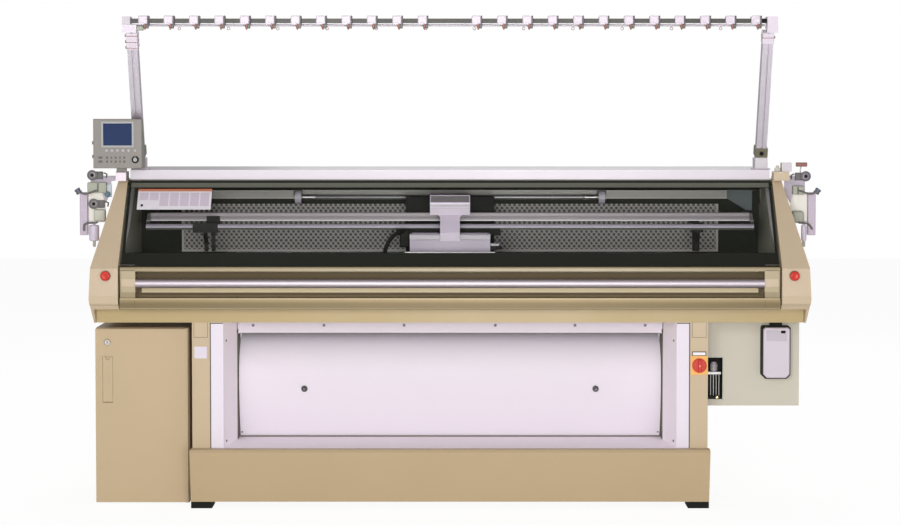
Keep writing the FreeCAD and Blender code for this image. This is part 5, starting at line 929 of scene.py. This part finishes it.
class KNITTING_OT_yarn_rail(bpy.types.Operator):
    """Replaces the top rail with its separate pieces: rail, corner blocks, thread bar and thread eyes."""
    bl_idname = "knitting.yarn_rail"
    bl_label = "Yarn rail"

    def execute(self, context):
        low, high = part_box("top_rail")
        units_low, units_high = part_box("tension_units")
        axis_y, axis_z = units_low.y + 0.024, units_high.z - 0.022
        half, rail = 0.0095, high.x - 0.003
        bar = made("yarn_rail", "olive", "olive",
                   block(-rail, rail, axis_y - half, axis_y + half, axis_z - half, axis_z + half, 0.0015))
        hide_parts("top_rail")
        post_top, slant = axis_z - 0.044, math.tan(POST_LEAN)
        front, back = axis_y - 0.0225, axis_y + 0.0385
        # the corner pieces; those that begin at 0 stand on the slanting end of a post
        for name, finish, x0, x1, floor, top in (
                ("left_corner_plate", "pearl", low.x, low.x + 0.062, 0, 0.026),
                ("left_corner_block", "pearl_grey", low.x, low.x + 0.035, 0.0262, 0.062),
                ("right_corner_block", "pearl", high.x - 0.046, high.x, 0, 0.062)):
            under = [(y, post_top + floor + (y - axis_y) * slant * (floor == 0)) for y in (front, back)]
            made(name, finish, "tension_white",
                 (add_outline, [*under, (back, post_top + top), (front, post_top + top)], x0, x1, "X"))
        made("left_corner_stop", "sage", "olive",
             block(low.x + 0.0622, low.x + 0.09, front + 0.004, front + 0.03, post_top + 0.002, post_top + 0.02,
                   0.002))
        made("corner_bolt", "black", "dark_plastic",
             (add_lathe, (high.x - 0.058, axis_y - half, axis_z), FORWARD,
              ((0.011, 0), (0.011, 0.008), (0.008, 0.01), (0, 0.01)), 6))
        bar_z, bar_y = axis_z - half - 0.008, axis_y + 0.0325
        made("thread_bar", "pearl_grey", "olive",
             (add_tube, [(-rail + 0.036, bar_y, bar_z), (rail - 0.047, bar_y, bar_z)], 0.0055))
        eyes = []
        for x in (side * (0.106 + k * 0.2139) for side, _ in SIDES for k in range(6)):
            angles = [math.tau * i / 12 for i in range(13)]
            ring = [(x + 0.006 * math.cos(a), bar_y - 0.0005, bar_z - 0.0145 + 0.006 * math.sin(a)) for a in angles]
            eyes += [(add_tube, ring, 0.0018, 6), (add_drum, (x, bar_y, bar_z - 0.009), (x, bar_y, bar_z), 0.002, 8)]
        made("thread_eyes", "rust_pale", "tension_white", *eyes)
        return {"FINISHED"}


class KNITTING_OT_tension_units(bpy.types.Operator):
    """Replaces the tension units with rounded bodies, each with a nozzle, a side cap and a thread arm."""
    bl_idname = "knitting.tension_units"
    bl_label = "Tension units"

    def execute(self, context):
        low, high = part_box("tension_units")
        axis_y, axis_z = low.y + 0.024, high.z - 0.022
        wide, first, count = 0.046, 0.1164, 12
        step = (high.x - wide / 2 - first) / (count - 1)
        places = [((side * (first + k * step), axis_y, axis_z), FLAT) for side, _ in SIDES for k in range(count)]
        for name, finish, *forms in (
                ("tension_bodies", "pearl", block(-0.023, 0.017, -0.024, -0.0097, -0.015, 0.022, 0.005),
                 block(-0.023, 0.017, -0.02, 0.0155, 0.0097, 0.022, 0.005),
                 block(-0.021, 0.004, -0.026, -0.012, -0.0175, -0.008, 0.002)),
                ("tension_caps", "cap", block(0.0172, 0.023, -0.024, 0.0155, -0.0175, 0.022, 0.002),
                 block(0.01, 0.022, -0.023, -0.012, -0.034, -0.0152, 0.002)),
                ("tension_nozzles", "rust",
                 (add_lathe, (0.006, -0.018, -0.0152), DOWN,
                  ((0.007, 0), (0.007, 0.012), (0.0045, 0.018), (0.003, 0.0237), (0, 0.0237)), 14)),
                ("thread_arms", "pearl_grey",
                 (add_tube, [(-0.02, -0.016, -0.017), (-0.052, -0.012, -0.0145), (-0.06, -0.01, -0.018)],
                  0.0022, 8))):
            part = drawn("unit", forms)
            scattered(name, part, places, finish)
            forget(part)
        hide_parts("tension_units")
        return {"FINISHED"}


# ---------------------------------------------------------------- side units

PLATE_UP = 1.342
PLATE_FRONT = -0.066
COVER_SIDE = 1.416
PLATE_SIDE = COVER_SIDE + 0.096
LEFT_FURTHER = 0.02


def unit_x(side, out):
    """X of a place on a side unit, measured outwards. The left unit stands a little further out."""
    return side * (PLATE_SIDE + (LEFT_FURTHER if side < 0 else 0) + out)


def disc_unit(name, x, z, side, face):
    """A disc tension: a dark cup with a ring, a pale face and a centre nut, on a dark body beside it."""
    y = PLATE_FRONT

    def turned(part, finish, back, profile, sides=32):
        made(f"{name}_{part}", finish, "dark_plastic", (add_lathe, (x, y - back, z), FORWARD, profile, sides))

    made(f"{name}_body", "cap", "dark_plastic",
         block(x, x - side * 0.046, y - 0.012, y - 0.0002, z - 0.018, z + 0.016, 0.003),
         (add_lathe, (x, y - 0.0002, z), FORWARD, ((0.013, 0), (0.013, 0.0158))),
         (add_tube, [(x - side * 0.05, y - 0.01, z + 0.01), (x - side * 0.064, y - 0.012, z + 0.004),
                     (x - side * 0.06, y - 0.01, z - 0.012)], 0.0035, 8))
    turned("cup", "cap", 0.016, ((0.013, 0), (0.021, 0.001), (0.023, 0.004), (0.022, 0.006), (0.017, 0.006),
                                 (0.0165, 0.0035)))
    turned("face", face, 0.0195, ((0.0164, 0), (0.014, 0.0022), (0.0078, 0.0028), (0.0076, 0.001)))
    turned("nut", "black", 0.0206, ((0.0074, 0), (0.0074, 0.004), (0.004, 0.0055), (0, 0.0055)), 12)


def side_unit(side, word):
    """The tension plate beside the machine in its own colours: sheet, arm boxes, light column and canister."""
    left = side < 0
    front, back, up = PLATE_FRONT, PLATE_FRONT + 0.006, PLATE_UP

    def x(out):
        return unit_x(side, out)

    def box(name, finish, out, rise, wide, tall, deep, bevel=0.003, slot="tension_white"):
        made(f"{word}_{name}", finish, slot, around(x(out), up + rise, wide, tall, front - deep, front - 0.0002, bevel))

    outline = [(side * (COVER_SIDE + 0.008), 1.412), (side * (COVER_SIDE + 0.008), 1.43),
               *[(x(out), up + rise) for out, rise in (
                   (0.06, 0.088), (0.06, 0.015), (0.071, 0.015), (0.071, -0.118), (0.0, -0.118), (0.0, -0.043),
                   (-0.031, 0.015))], (x(-0.031), 1.405), (side * (COVER_SIDE + 0.046), 1.412)]
    sheet = made(f"{word}_plate", "lavender", "tension_white", (add_outline, outline, front, back))
    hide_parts(f"{word}_tension_plate")
    made(f"{word}_cream_panel", "ivory", "tension_white",
         (add_outline, [(x(out), up + rise) for out, rise in ((-0.006, -0.116), (0.069, -0.116), (0.069, 0.013),
                                                              (0.01, 0.013), (-0.006, -0.04))],
          front - 0.003, front - 0.0002))
    # light column, and the part of it behind the sheet
    box("light_column", "lilac", 0.088, -0.08, 0.034, 0.19, 0.022, 0.004)
    made(f"{word}_column_back", "lilac", "tension_white",
         block(x(0.088) - 0.017, x(0.088) + 0.017, front + 0.0002, back, up - 0.175, up + 0.015))
    # box of the upper arm: green-grey, with a dark band
    wide, tall, rise = (0.084, 0.046, 0.0365) if left else (0.05, 0.038, 0.024)
    box("upper_box", "sage", 0.027, rise, wide, tall, 0.034, 0.004, "service_grey")
    band = x(0.027) - side * wide * 0.06
    made(f"{word}_box_band", "olive_dark", "service_grey",
         block(band - 0.004, band + 0.004, front - 0.0344, front - 0.0322, up + rise - tall / 2 + 0.003,
               up + rise + tall / 2 - 0.003))
    if left:
        made("left_teal_valve", "teal", "service_grey",
             (add_lathe, (x(-0.017), front - 0.0082, up + 0.006), FORWARD,
              ((0.0132, 0), (0.0132, 0.007), (0.011, 0.009), (0.004, 0.009), (0, 0.008)), 24))
        box("flap", "flap", -0.02, 0.022, 0.03, 0.057, 0.008, 0.002)
        box("lower_box", "sage_pale", 0.016, -0.086, 0.05, 0.05, 0.034, 0.006, "service_grey")
    else:
        box("lower_box", "sage", 0.026, -0.094, 0.052, 0.054, 0.034, 0.01, "service_grey")
    guide, radius = (0.046, 0.022) if left else (0.057, 0.012)
    centre_y = front + 0.003
    made(f"{word}_canister", "canister", "tension_white",
         (add_lathe, (x(guide), centre_y, up - 0.201), UP,
          ((radius * 0.8, 0), (radius, 0.004), (radius, 0.066), (radius * 0.85, 0.07))),
         block(x(guide) - 0.006, x(guide) + 0.006, front, back, up - 0.131, up - 0.1182))
    made(f"{word}_stub", "sage_pale", "tension_white",
         (add_lathe, (x(guide), centre_y, up - 0.2012), DOWN, ((0.007, 0), (0.007, 0.02), (0.005, 0.0268)), 16))
    for index, (out, rise) in enumerate(((0.049, 0.091), (0.043, -0.036)) if left else ((0.06, 0.086),)):
        disc_unit(f"{word}_disc_{index + 1}", x(out), up + rise, side, "face_grey" if left else "lilac_dark")


def yarn_arm(side, word, level, body, rise, steps, radius):
    """Replaces one arm by a bent bar on its pin, and returns the bar's end."""
    x, y, z = unit_x(side, 0.027), PLATE_FRONT - 0.0395, PLATE_UP + rise
    path = [(x, y, z), *[(x + side * out, y, z + more) for out, more in steps]]
    arm = made(f"{word}_{level}_arm_bar", "cap", "dark_plastic", (add_tube, smooth_path(path, 5), radius, 10),
               (add_drum, (x, y - 0.003, z), (x, y + 0.0195, z), 0.0034, 16), body=body)
    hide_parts(f"{word}_{level}_arm")
    return Vector(path[-1])


class KNITTING_OT_side_units(bpy.types.Operator):
    """Replaces both side tension plates and their yarn arms with pieces in their own colours."""
    bl_idname = "knitting.side_units"
    bl_label = "Side units"

    def execute(self, context):
        for side, word in SIDES:
            side_unit(side, word)
            body = f"{word}_top_arm"
            end = yarn_arm(side, word, "upper", body, 0.024, ((0.049, -0.015), (0.08, -0.003)), 0.0042)
            along = Vector((side * 0.55, 0, 0.8)).normalized()
            made(f"{word}_yarn_roller", "roller", "dark_plastic",
                 (add_lathe, end - along * 0.012 - Vector((0, 0.003, 0)), along,
                  ((0.0115, 0), (0.0135, 0.002), (0.0135, 0.007), (0.012, 0.009), (0.012, 0.015),
                   (0.0135, 0.017), (0.0135, 0.022), (0.0115, 0.024))), body=body)
            body = f"{word}_foot_arm"
            steps = ((0.05, -0.006), (0.056, -0.034)) if side < 0 else ((0.041, -0.006), (0.058, -0.028))
            end = yarn_arm(side, word, "lower", body, -0.118, steps, 0.0045)
            made(f"{word}_yarn_eye", "cap", "dark_plastic",
                 (add_lathe, end + Vector((0, 0.002, 0)), FORWARD, ((0.0045, 0), (0.0045, 0.006))), body=body)
        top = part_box("right_side_cover")[1].z
        made("guide_bar", "rust", "tension_white",
             (add_tube, [(1.529, -0.085, 1.48), (1.577, -0.085, 1.48)], 0.0095, 16))
        made("guide_stem", "pearl_grey", "tension_white",
             (add_tube, smooth_path([(1.552, -0.0632, 1.424), (1.552, -0.064, 1.455), (1.553, -0.08, 1.474)], 4),
              0.0028, 8))
        made("cover_block_face", "pearl_grey", "cover_cream", block(1.452, 1.496, -0.1712, -0.1702, 1.451, 1.4895))
        made("cover_fitting", "sage_pale", "cover_cream",
             block(1.424, 1.448, -0.16, -0.14, top - 0.0398, top - 0.022, 0.003),
             (add_drum, (1.436, -0.15, top - 0.024), (1.436, -0.15, top - 0.012), 0.007, 16))
        return {"FINISHED"}


# ---------------------------------------------------------------- control panel

class KNITTING_OT_panel(bpy.types.Operator):
    """Replaces the key mat and dial, and adds the display's bezel and the mount's cover."""
    bl_idname = "knitting.panel"
    bl_label = "Control panel"

    def execute(self, context):
        glass_low, glass_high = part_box("panel_screen")
        mat_low, mat_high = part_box("panel_keys")
        low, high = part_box("panel_housing")
        face, rim = low.y, 0.0085
        x0, x1, z0, z1 = glass_low.x, glass_high.x, glass_low.z, glass_high.z
        made("display_bezel", "bezel", "panel_grey", *[
            block(a, b, face - 0.0025, face + 0.0004, c, d, 0.0008) for a, b, c, d in (
                (x0 - rim, x1 + rim, z1, z1 + rim), (x0 - rim, x1 + rim, z0 - rim, z0), (x0 - rim, x0, z0, z1),
                (x1, x1 + rim, z0, z1))], body="panel")
        mat = made("key_mat", "grey", "panel_grey",
                   block(mat_low.x, mat_high.x, face - 0.0004, face + 0.0014, mat_low.z, mat_high.z), body="panel")
        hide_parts("panel_keys")
        first = (low.x + 0.009 + high.x) / 2 - 0.048
        foot = low.z + (glass_low.z - low.z - 0.1)
        made("round_keys", "key", "key_white", *[
            (add_lathe, (first + 0.024 * k, face - 0.0004, foot + 0.078), FORWARD,
             ((0.0062, 0), (0.0062, 0.0026), (0.005, 0.0038), (0, 0.0042)), 20) for k in range(5)], body="panel")
        # two rows of small keys, each with a wider one at its left
        small = []
        for z in (foot + 0.0295 + 0.0175 * row for row in range(2)):
            keys = [(first + 0.002 + 0.0188 * k, 0.006 if k in (1, 3) else 0.0085) for k in range(5)]
            small += [around(x, z, wide, 0.009, face - 0.0022, face - 0.0004, 0.0008)
                      for x, wide in (*keys, (first - 0.027, 0.018))]
        made("small_keys", "small_key", "dark_plastic", *small, body="panel")
        made("panel_button", "key", "key_white",
             (add_lathe, (high.x - 0.03, face, foot + 0.078), FORWARD, ((0.005, 0), (0.005, 0.002), (0, 0.003)), 16),
             body="panel")
        x, _, z = centre(*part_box("panel_dial"))
        y = face - 0.0005
        flutes = []
        for k in range(96):
            turn, radius = math.tau * k / 96, 0.016 - (0.0007 if k % 4 < 2 else 0)
            flutes.append((x + radius * math.cos(turn), z + radius * math.sin(turn)))
        ring = made("dial_ring", "dark", "dark_plastic", (add_outline, flutes, y - 0.006, y),
                    (add_lathe, (x, y - 0.006, z), FORWARD, ((0.0145, 0), (0.0125, 0.0012), (0.009, 0.0012))),
                    (add_drum, (x, y, z), (x, y + 0.012, z), 0.005, 24), body="dial")
        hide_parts("panel_dial")
        made("dial_cap", "bezel", "panel_grey",
             (add_lathe, (x, y - 0.006, z), FORWARD,
              ((0.0088, 0), (0.0088, 0.0025), (0.0065, 0.0035), (0, 0.003)), 28), body="dial")
        made("dial_mark", "paper", "key_white",
             block(x - 0.001, x + 0.001, y - 0.0076, y - 0.0071, z + 0.01, z + 0.0135), body="dial")
        low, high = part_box("panel_mount")
        made("mount_cover", "blush", "panel_grey",
             block(low.x - 0.001, high.x + 0.001, low.y - 0.001, low.y - 0.0001, high.z - 0.0545, high.z - 0.018,
                   0.0004), body="panel_foot")
        return {"FINISHED"}


# ---------------------------------------------------------------- carriage

class KNITTING_OT_carriage(bpy.types.Operator):
    """Adds the carriage's top plates of painted shade and highlight, its seams, guard bar, brush holder and bracket,
    and a black plate of painted shade behind its housing.
    """
    bl_idname = "knitting.carriage"
    bl_label = "Carriage details"

    def execute(self, context):
        front_low, front_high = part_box("front_carriage")
        bridge_low, bridge_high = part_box("carriage_bridge")
        half, head, top, face = 0.175, bridge_high.x, bridge_high.z, -0.12
        z, strip = front_high.z, front_low.y + 0.0092
        left = -half - 0.0002
        for name, finish, slot, *forms in (
                # painted shade on the head's slope, the seam across its face, painted shade on its faces and the neck's
                # foot, and its edge strips, the one along the slope's top a painted highlight
                ("head_inlay", "carriage_top", "dark_plastic",
                 (add_outline, [(face + 0.0035, top - 0.03), (face + 0.0225, top - 0.0034),
                                (face + 0.0215, top - 0.0025), (face + 0.0023, top - 0.0293)],
                  -head + 0.003, head - 0.003, "X")),
                ("head_seam", "gap", "dark_plastic",
                 block(-head, head, face - 0.0004, face + 0.0002, top - 0.0535, top - 0.0512)),
                ("head_edges", "silver_edge", "carriage_silver",
                 block(-head, head, face - 0.0007, face - 0.0001, top - 0.0585, top - 0.056),
                 block(-head, head, face - 0.0006, face + 0.0001, top - 0.05, top - 0.038),
                 block(-head, head, face + 0.0245, face + 0.03, top - 0.0002, top + 0.0006)),
                ("bridge_faces", "head_face", "carriage_silver",
                 block(-head, head, face - 0.0006, face - 0.0001, 1.2592, top - 0.0515),
                 block(-0.043, 0.043, bridge_low.y - 0.0005, bridge_low.y - 0.0001, 1.1505, 1.1868)),
                # strip along the housing's front top, and the guard bar below it
                ("housing_strip", "silver_edge", "carriage_silver",
                 block(-half, -0.045, strip, strip + 0.0015, z - 0.022, z - 0.003, 0.0005),
                 block(0.045, half, strip, strip + 0.0015, z - 0.022, z - 0.003, 0.0005)),
                ("guard_bar", "bar_bright", "rail_steel",
                 (add_tube, [(-half - 0.022, -0.2262, 1.099), (half + 0.022, -0.2262, 1.099)], 0.0058, 16)),
                ("brush_holder", "dark", "dark_plastic",
                 block(half + 0.0002, half + 0.03, -0.2, -0.15, 1.108, 1.127, 0.003),
                 block(half + 0.012, half + 0.052, -0.196, -0.176, 1.112, 1.124, 0.002)),
                ("brush_plate", "silver_edge", "carriage_silver",
                 block(half + 0.0002, half + 0.04, -0.204, -0.16, 1.1272, 1.138, 0.002)),
                # bracket that curls down from a block on the housing's left side, and a black plate behind the housing
                # that paints the shade under the rails
                ("curl_bracket", "black", "dark_plastic",
                 block(left - 0.045, left, -0.165, -0.118, 1.118, 1.196, 0.006),
                 (add_tube, smooth_path([(left - 0.113, -0.2, 1.086), (left - 0.105, -0.2, 1.117),
                                         (left - 0.092, -0.198, 1.145), (left - 0.066, -0.19, 1.176),
                                         (left - 0.03, -0.16, 1.19), (left - 0.01, -0.14, 1.186)], 5),
                  0.0092, 14)),
                ("housing_plate", "black", "dark_plastic",
                 block(left - 0.062, half + 0.048, -0.118, -0.1035, 1.168, 1.196, 0.002))):
            made(name, finish, slot, *forms, body="carriage")
        return {"FINISHED"}


# ---------------------------------------------------------------- boxes under the beam

class KNITTING_OT_lint_case(bpy.types.Operator):
    """Replaces the lint case by a dark shell, a pale front with a rounded edge, a lid and its catch."""
    bl_idname = "knitting.lint_case"
    bl_label = "Lint case"

    def execute(self, context):
        low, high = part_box("lint_case")
        top, bevel, x, y = high.z - 0.034, 0.016, (low.x + high.x) / 2, low.y

        def outline(inset):
            x0, x1, z0, z1 = low.x + inset, high.x - inset, low.z + inset, top - inset
            return [(x0 + bevel, z0), (x1 - bevel, z0), (x1, z0 + bevel), (x1, z1 - 0.008), (x1 - 0.008, z1),
                    (x0 + 0.008, z1), (x0, z1 - 0.008), (x0, z0 + bevel)]

        shell = made("lint_shell", "black", "dark_plastic", (add_outline, outline(0.0), y + 0.016, high.y),
                     block(x - 0.026, x + 0.026, y + 0.02, high.y - 0.015, top - 0.001, high.z))
        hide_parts("lint_case")
        bm = bmesh.new()
        add_outline(bm, outline(0.005), y, y + 0.0165)
        bmesh.ops.recalc_face_normals(bm, faces=bm.faces)
        rim = [e for e in bm.edges if all(abs(v.co.y - y) < 1e-6 for v in e.verts)]
        bmesh.ops.bevel(bm, geom=rim, offset=0.006, segments=3, profile=0.5, affect="EDGES")
        give(finished(bm, "lint_front"), "frame", finish_named("lint"))
        made("lint_lid", "lint_dark", "lint_grey",
             block(low.x + 0.018, high.x - 0.018, y - 0.0012, y - 0.0001, top - 0.064, top - 0.018, 0.0008))
        made("lint_catch", "black", "dark_plastic",
             block(x + 0.018, x + 0.038, y - 0.003, y - 0.0012, top - 0.03, top - 0.018, 0.0012))
        return {"FINISHED"}


class KNITTING_OT_main_switch(bpy.types.Operator):
    """Replaces the main switch's knob by a disc with a grip, and adds the blank label above its plate."""
    bl_idname = "knitting.main_switch"
    bl_label = "Main switch"

    def execute(self, context):
        plate_low, plate_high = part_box("switch_plate")
        knob_low, knob_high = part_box("main_switch_knob")
        x, _, z = centre(knob_low, knob_high)
        y, radius, front = plate_low.y, (knob_high.x - knob_low.x) / 2, knob_low.y
        knob = made("switch_disc", "red", "stop_red",
                    (add_lathe, (x, y - 0.0005, z), FORWARD,
                     ((radius, 0), (radius, 0.01), (radius - 0.003, 0.0125), (0, 0.0125)), 48),
                    block(x - 0.007, x + 0.007, front, y - 0.012, z - radius + 0.004, z + radius - 0.004, 0.003),
                    (add_drum, (x, y - 0.001, z), (x, y + 0.0089, z), 0.007, 24), body="switch_knob")
        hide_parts("main_switch_knob")
        made("switch_dot", "orange", "stop_red", (add_drum, (x, front + 0.0004, z), (x, front - 0.0004, z), 0.0048, 20),
             body="switch_knob")
        for name, finish, slot, inset, y0, y1, z0, z1 in (
                ("switch_label", "paper", "panel_white", 0.01, 0.0012, 0.0002, 0.0025, 0.015),
                ("switch_label_edge", "black", "dark_plastic", 0.0065, 0.0009, 0.0001, 0.0006, 0.0185)):
            made(name, finish, slot, block(plate_low.x + inset, plate_high.x - inset, plate_high.y - y0,
                                           plate_high.y - y1, plate_high.z + z0, plate_high.z + z1))
        return {"FINISHED"}


class KNITTING_OT_service_box(bpy.types.Operator):
    """Frames the service box's window and replaces the valves behind it by a manifold, tubes, filter and fitting."""
    bl_idname = "knitting.service_box"
    bl_label = "Service box"

    def execute(self, context):
        low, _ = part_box("service_box")
        valve_low, valve_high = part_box("valve_bank")
        x0, y, z0, base = low.x + 0.004, low.y, low.z + 0.029, valve_low.z
        x1, z1 = x0 + 0.088, z0 + 0.184
        made("air_window_rim", "sage_pale", "service_grey", *[
            block(*sides, y - 0.0015, y - 0.0001, *ends, 0.0006) for sides, ends in (
                ((x1, x1 + 0.005), (z0 - 0.004, z1 + 0.004)), ((x0 - 0.002, x1), (z1, z1 + 0.005)),
                ((x0 - 0.002, x1), (z0 - 0.005, z0)))])
        made("air_window_dark", "black", "dark_plastic",
             block(x0 + 0.0005, x1 + 0.03, valve_high.y + 0.004, valve_high.y + 0.006, z0 - 0.02, z1 + 0.03))
        tubes = made("air_tubes", "tube_silver", "valve_brass",
                     *[(add_lathe, (1.158 + 0.0125 * k, y + 0.05, base + 0.034), UP,
                        ((0.0036, 0), (0.0036, 0.094), (0.003, 0.0942)), 16) for k in range(4)],
                     block(x0, x1, y + 0.036, y + 0.066, base + 0.128, base + 0.142, 0.002))
        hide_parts("valve_bank")
        made("air_manifold", "dark", "dark_plastic", block(x0, x1, y + 0.03, y + 0.075, base, base + 0.0338, 0.002))
        made("air_filter", "silver_edge", "valve_brass",
             (add_lathe, (1.172, y + 0.05, base + 0.1422), UP,
              ((0.012, 0), (0.016, 0.004), (0.016, 0.03), (0.011, 0.042), (0.004, 0.044)), 24))
        made("air_fitting", "brass_bright", "valve_brass",
             (add_lathe, (1.184, y + 0.03, 0.447), FORWARD,
              ((0.006, 0), (0.01, 0.004), (0.01, 0.01), (0.006, 0.016), (0, 0.017)), 20))
        return {"FINISHED"}


class KNITTING_OT_cabinet(bpy.types.Operator):
    """Adds the cabinet door's lock, and the blank label on the leg beside it."""
    bl_idname = "knitting.cabinet"
    bl_label = "Cabinet"

    def execute(self, context):
        low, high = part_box("cabinet_door")
        x, y, z = centre(*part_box("door_handle"))[0], low.y, high.z - 0.0605
        made("door_lock", "lock_metal", "bed_steel",
             (add_lathe, (x, y - 0.0002, z), FORWARD,
              ((0.0135, 0), (0.0135, 0.003), (0.0115, 0.0045), (0.0045, 0.0045), (0.004, 0.002)), 28), body="door")
        made("door_key_slot", "black", "dark_plastic",
             block(x - 0.001, x + 0.001, y - 0.0049, y - 0.0044, z - 0.006, z + 0.006), body="door")
        low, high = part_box("left_leg")
        made("leg_label", "leg_label", "panel_white",
             block(low.x + 0.01, high.x - 0.012, low.y + 0.0012, low.y + 0.0019, high.z - 0.155, high.z - 0.104))
        return {"FINISHED"}


# ---------------------------------------------------------------- stage

def floor_paper():
    """White paper that the camera sees nearly as bright as the background, with only a faint shadow on it."""
    material, shader = base_material("floor_paper", Base_Color=(0.92, 0.92, 0.92, 1), Roughness=0.9,
                                     Specular_IOR_Level=0.1)
    tree = material.node_tree
    fill(tree, {"glow": ("Emission", {"Strength": 1.06}), "path": ("LightPath", {}),
                "share": ("Math", {"operation": "MULTIPLY", 1: 0.86}), "mix": ("MixShader", {})},
         "path.Is Camera Ray>share.0, share.0>mix.Fac, shader.0>mix.1, glow.0>mix.2, mix.0>out.Surface",
         shader=shader, out=tree.nodes["Material Output"])
    return material


class KNITTING_OT_stage(bpy.types.Operator):
    """Sets the floor, the soft light and the camera."""
    bl_idname = "knitting.stage"
    bl_label = "Stage"

    def execute(self, context):
        scene = context.scene
        scene.view_settings.view_transform = "Standard"
        bm = bmesh.new()
        bmesh.ops.create_grid(bm, x_segments=1, y_segments=1, size=14)
        floor = finished(bm, "floor")
        floor.data.materials.append(floor_paper())
        world = scene.world = bpy.data.worlds.new("studio_air")
        world.use_nodes = True
        world.node_tree.nodes.clear()
        white = (1, 1, 1, 1)
        fill(world.node_tree, {
            "out": ("OutputWorld", {}), "seen": ("Background", {"Color": white, "Strength": 1.0}),
            "lit": ("Background", {"Color": white, "Strength": 0.42}), "path": ("LightPath", {}),
            "mix": ("MixShader", {})}, "path.Is Camera Ray>mix.Fac, lit.0>mix.1, seen.0>mix.2, mix.0>out.Surface")
        for name, where, target, size, power in (
                ("key_light", (-1.4, -7.5, 2.7), (0, 0, 0.9), 2.2, 170),
                ("fill_light", (0.6, -7.5, 0.9), (0, 0, 0.9), 2.2, 232),
                ("back_light", (0.5, 5.5, 4.5), (0, 0, 1.2), 4.0, 90)):
            lamp = bpy.data.lights.new(name, "AREA")
            lamp.size, lamp.energy = size, power
            obj = linked(bpy.data.objects.new(name, lamp))
            obj.location = where
            obj.rotation_mode = "QUATERNION"
            obj.rotation_quaternion = (Vector(target) - obj.location).to_track_quat("-Z", "Y")
        lens = bpy.data.cameras.new("studio_camera")
        lens.lens, lens.sensor_width, lens.shift_y = 79.2, 36, -0.085
        camera = scene.camera = linked(bpy.data.objects.new("studio_camera", lens))
        camera.location = (0, -8.83, 1.724)
        camera.rotation_euler = (math.radians(90 - 2.22), 0, 0)
        return {"FINISHED"}


# ---------------------------------------------------------------- sidebar and run

STEPS = (KNITTING_OT_finishes, KNITTING_OT_beds, KNITTING_OT_screen, KNITTING_OT_bin, KNITTING_OT_channel,
         KNITTING_OT_stops, KNITTING_OT_hood, KNITTING_OT_stand, KNITTING_OT_yarn_rail, KNITTING_OT_tension_units,
         KNITTING_OT_side_units, KNITTING_OT_panel, KNITTING_OT_carriage, KNITTING_OT_lint_case,
         KNITTING_OT_main_switch, KNITTING_OT_service_box, KNITTING_OT_cabinet, KNITTING_OT_stage)


class KNITTING_PT_sidebar(bpy.types.Panel):
    """Lists the machine's sizes, colours and steps."""
    bl_label = "Flat Knitting Machine"
    bl_idname = "KNITTING_PT_sidebar"
    bl_space_type = "VIEW_3D"
    bl_region_type = "UI"
    bl_category = "Knitting"

    def draw(self, context):
        for group in (context.scene.knitting_colours, context.scene.knitting_sizes):
            box = self.layout.box()
            for name in group.bl_rna.properties.keys():
                if name not in ("rna_type", "name"):
                    box.prop(group, name)
        for step in STEPS:
            self.layout.operator(step.bl_idname)


CLASSES = (KnittingColours, KnittingSizes, *STEPS, KNITTING_PT_sidebar)


def register():
    for cls in CLASSES:
        bpy.utils.register_class(cls)
    bpy.types.Scene.knitting_colours = bpy.props.PointerProperty(type=KnittingColours)
    bpy.types.Scene.knitting_sizes = bpy.props.PointerProperty(type=KnittingSizes)


def unregister():
    del bpy.types.Scene.knitting_sizes
    del bpy.types.Scene.knitting_colours
    for cls in reversed(CLASSES):
        bpy.utils.unregister_class(cls)


def main():
    register()
    for step in STEPS:
        group, name = step.bl_idname.split(".")
        getattr(getattr(bpy.ops, group), name)()


if __name__ == "__main__":
    main()
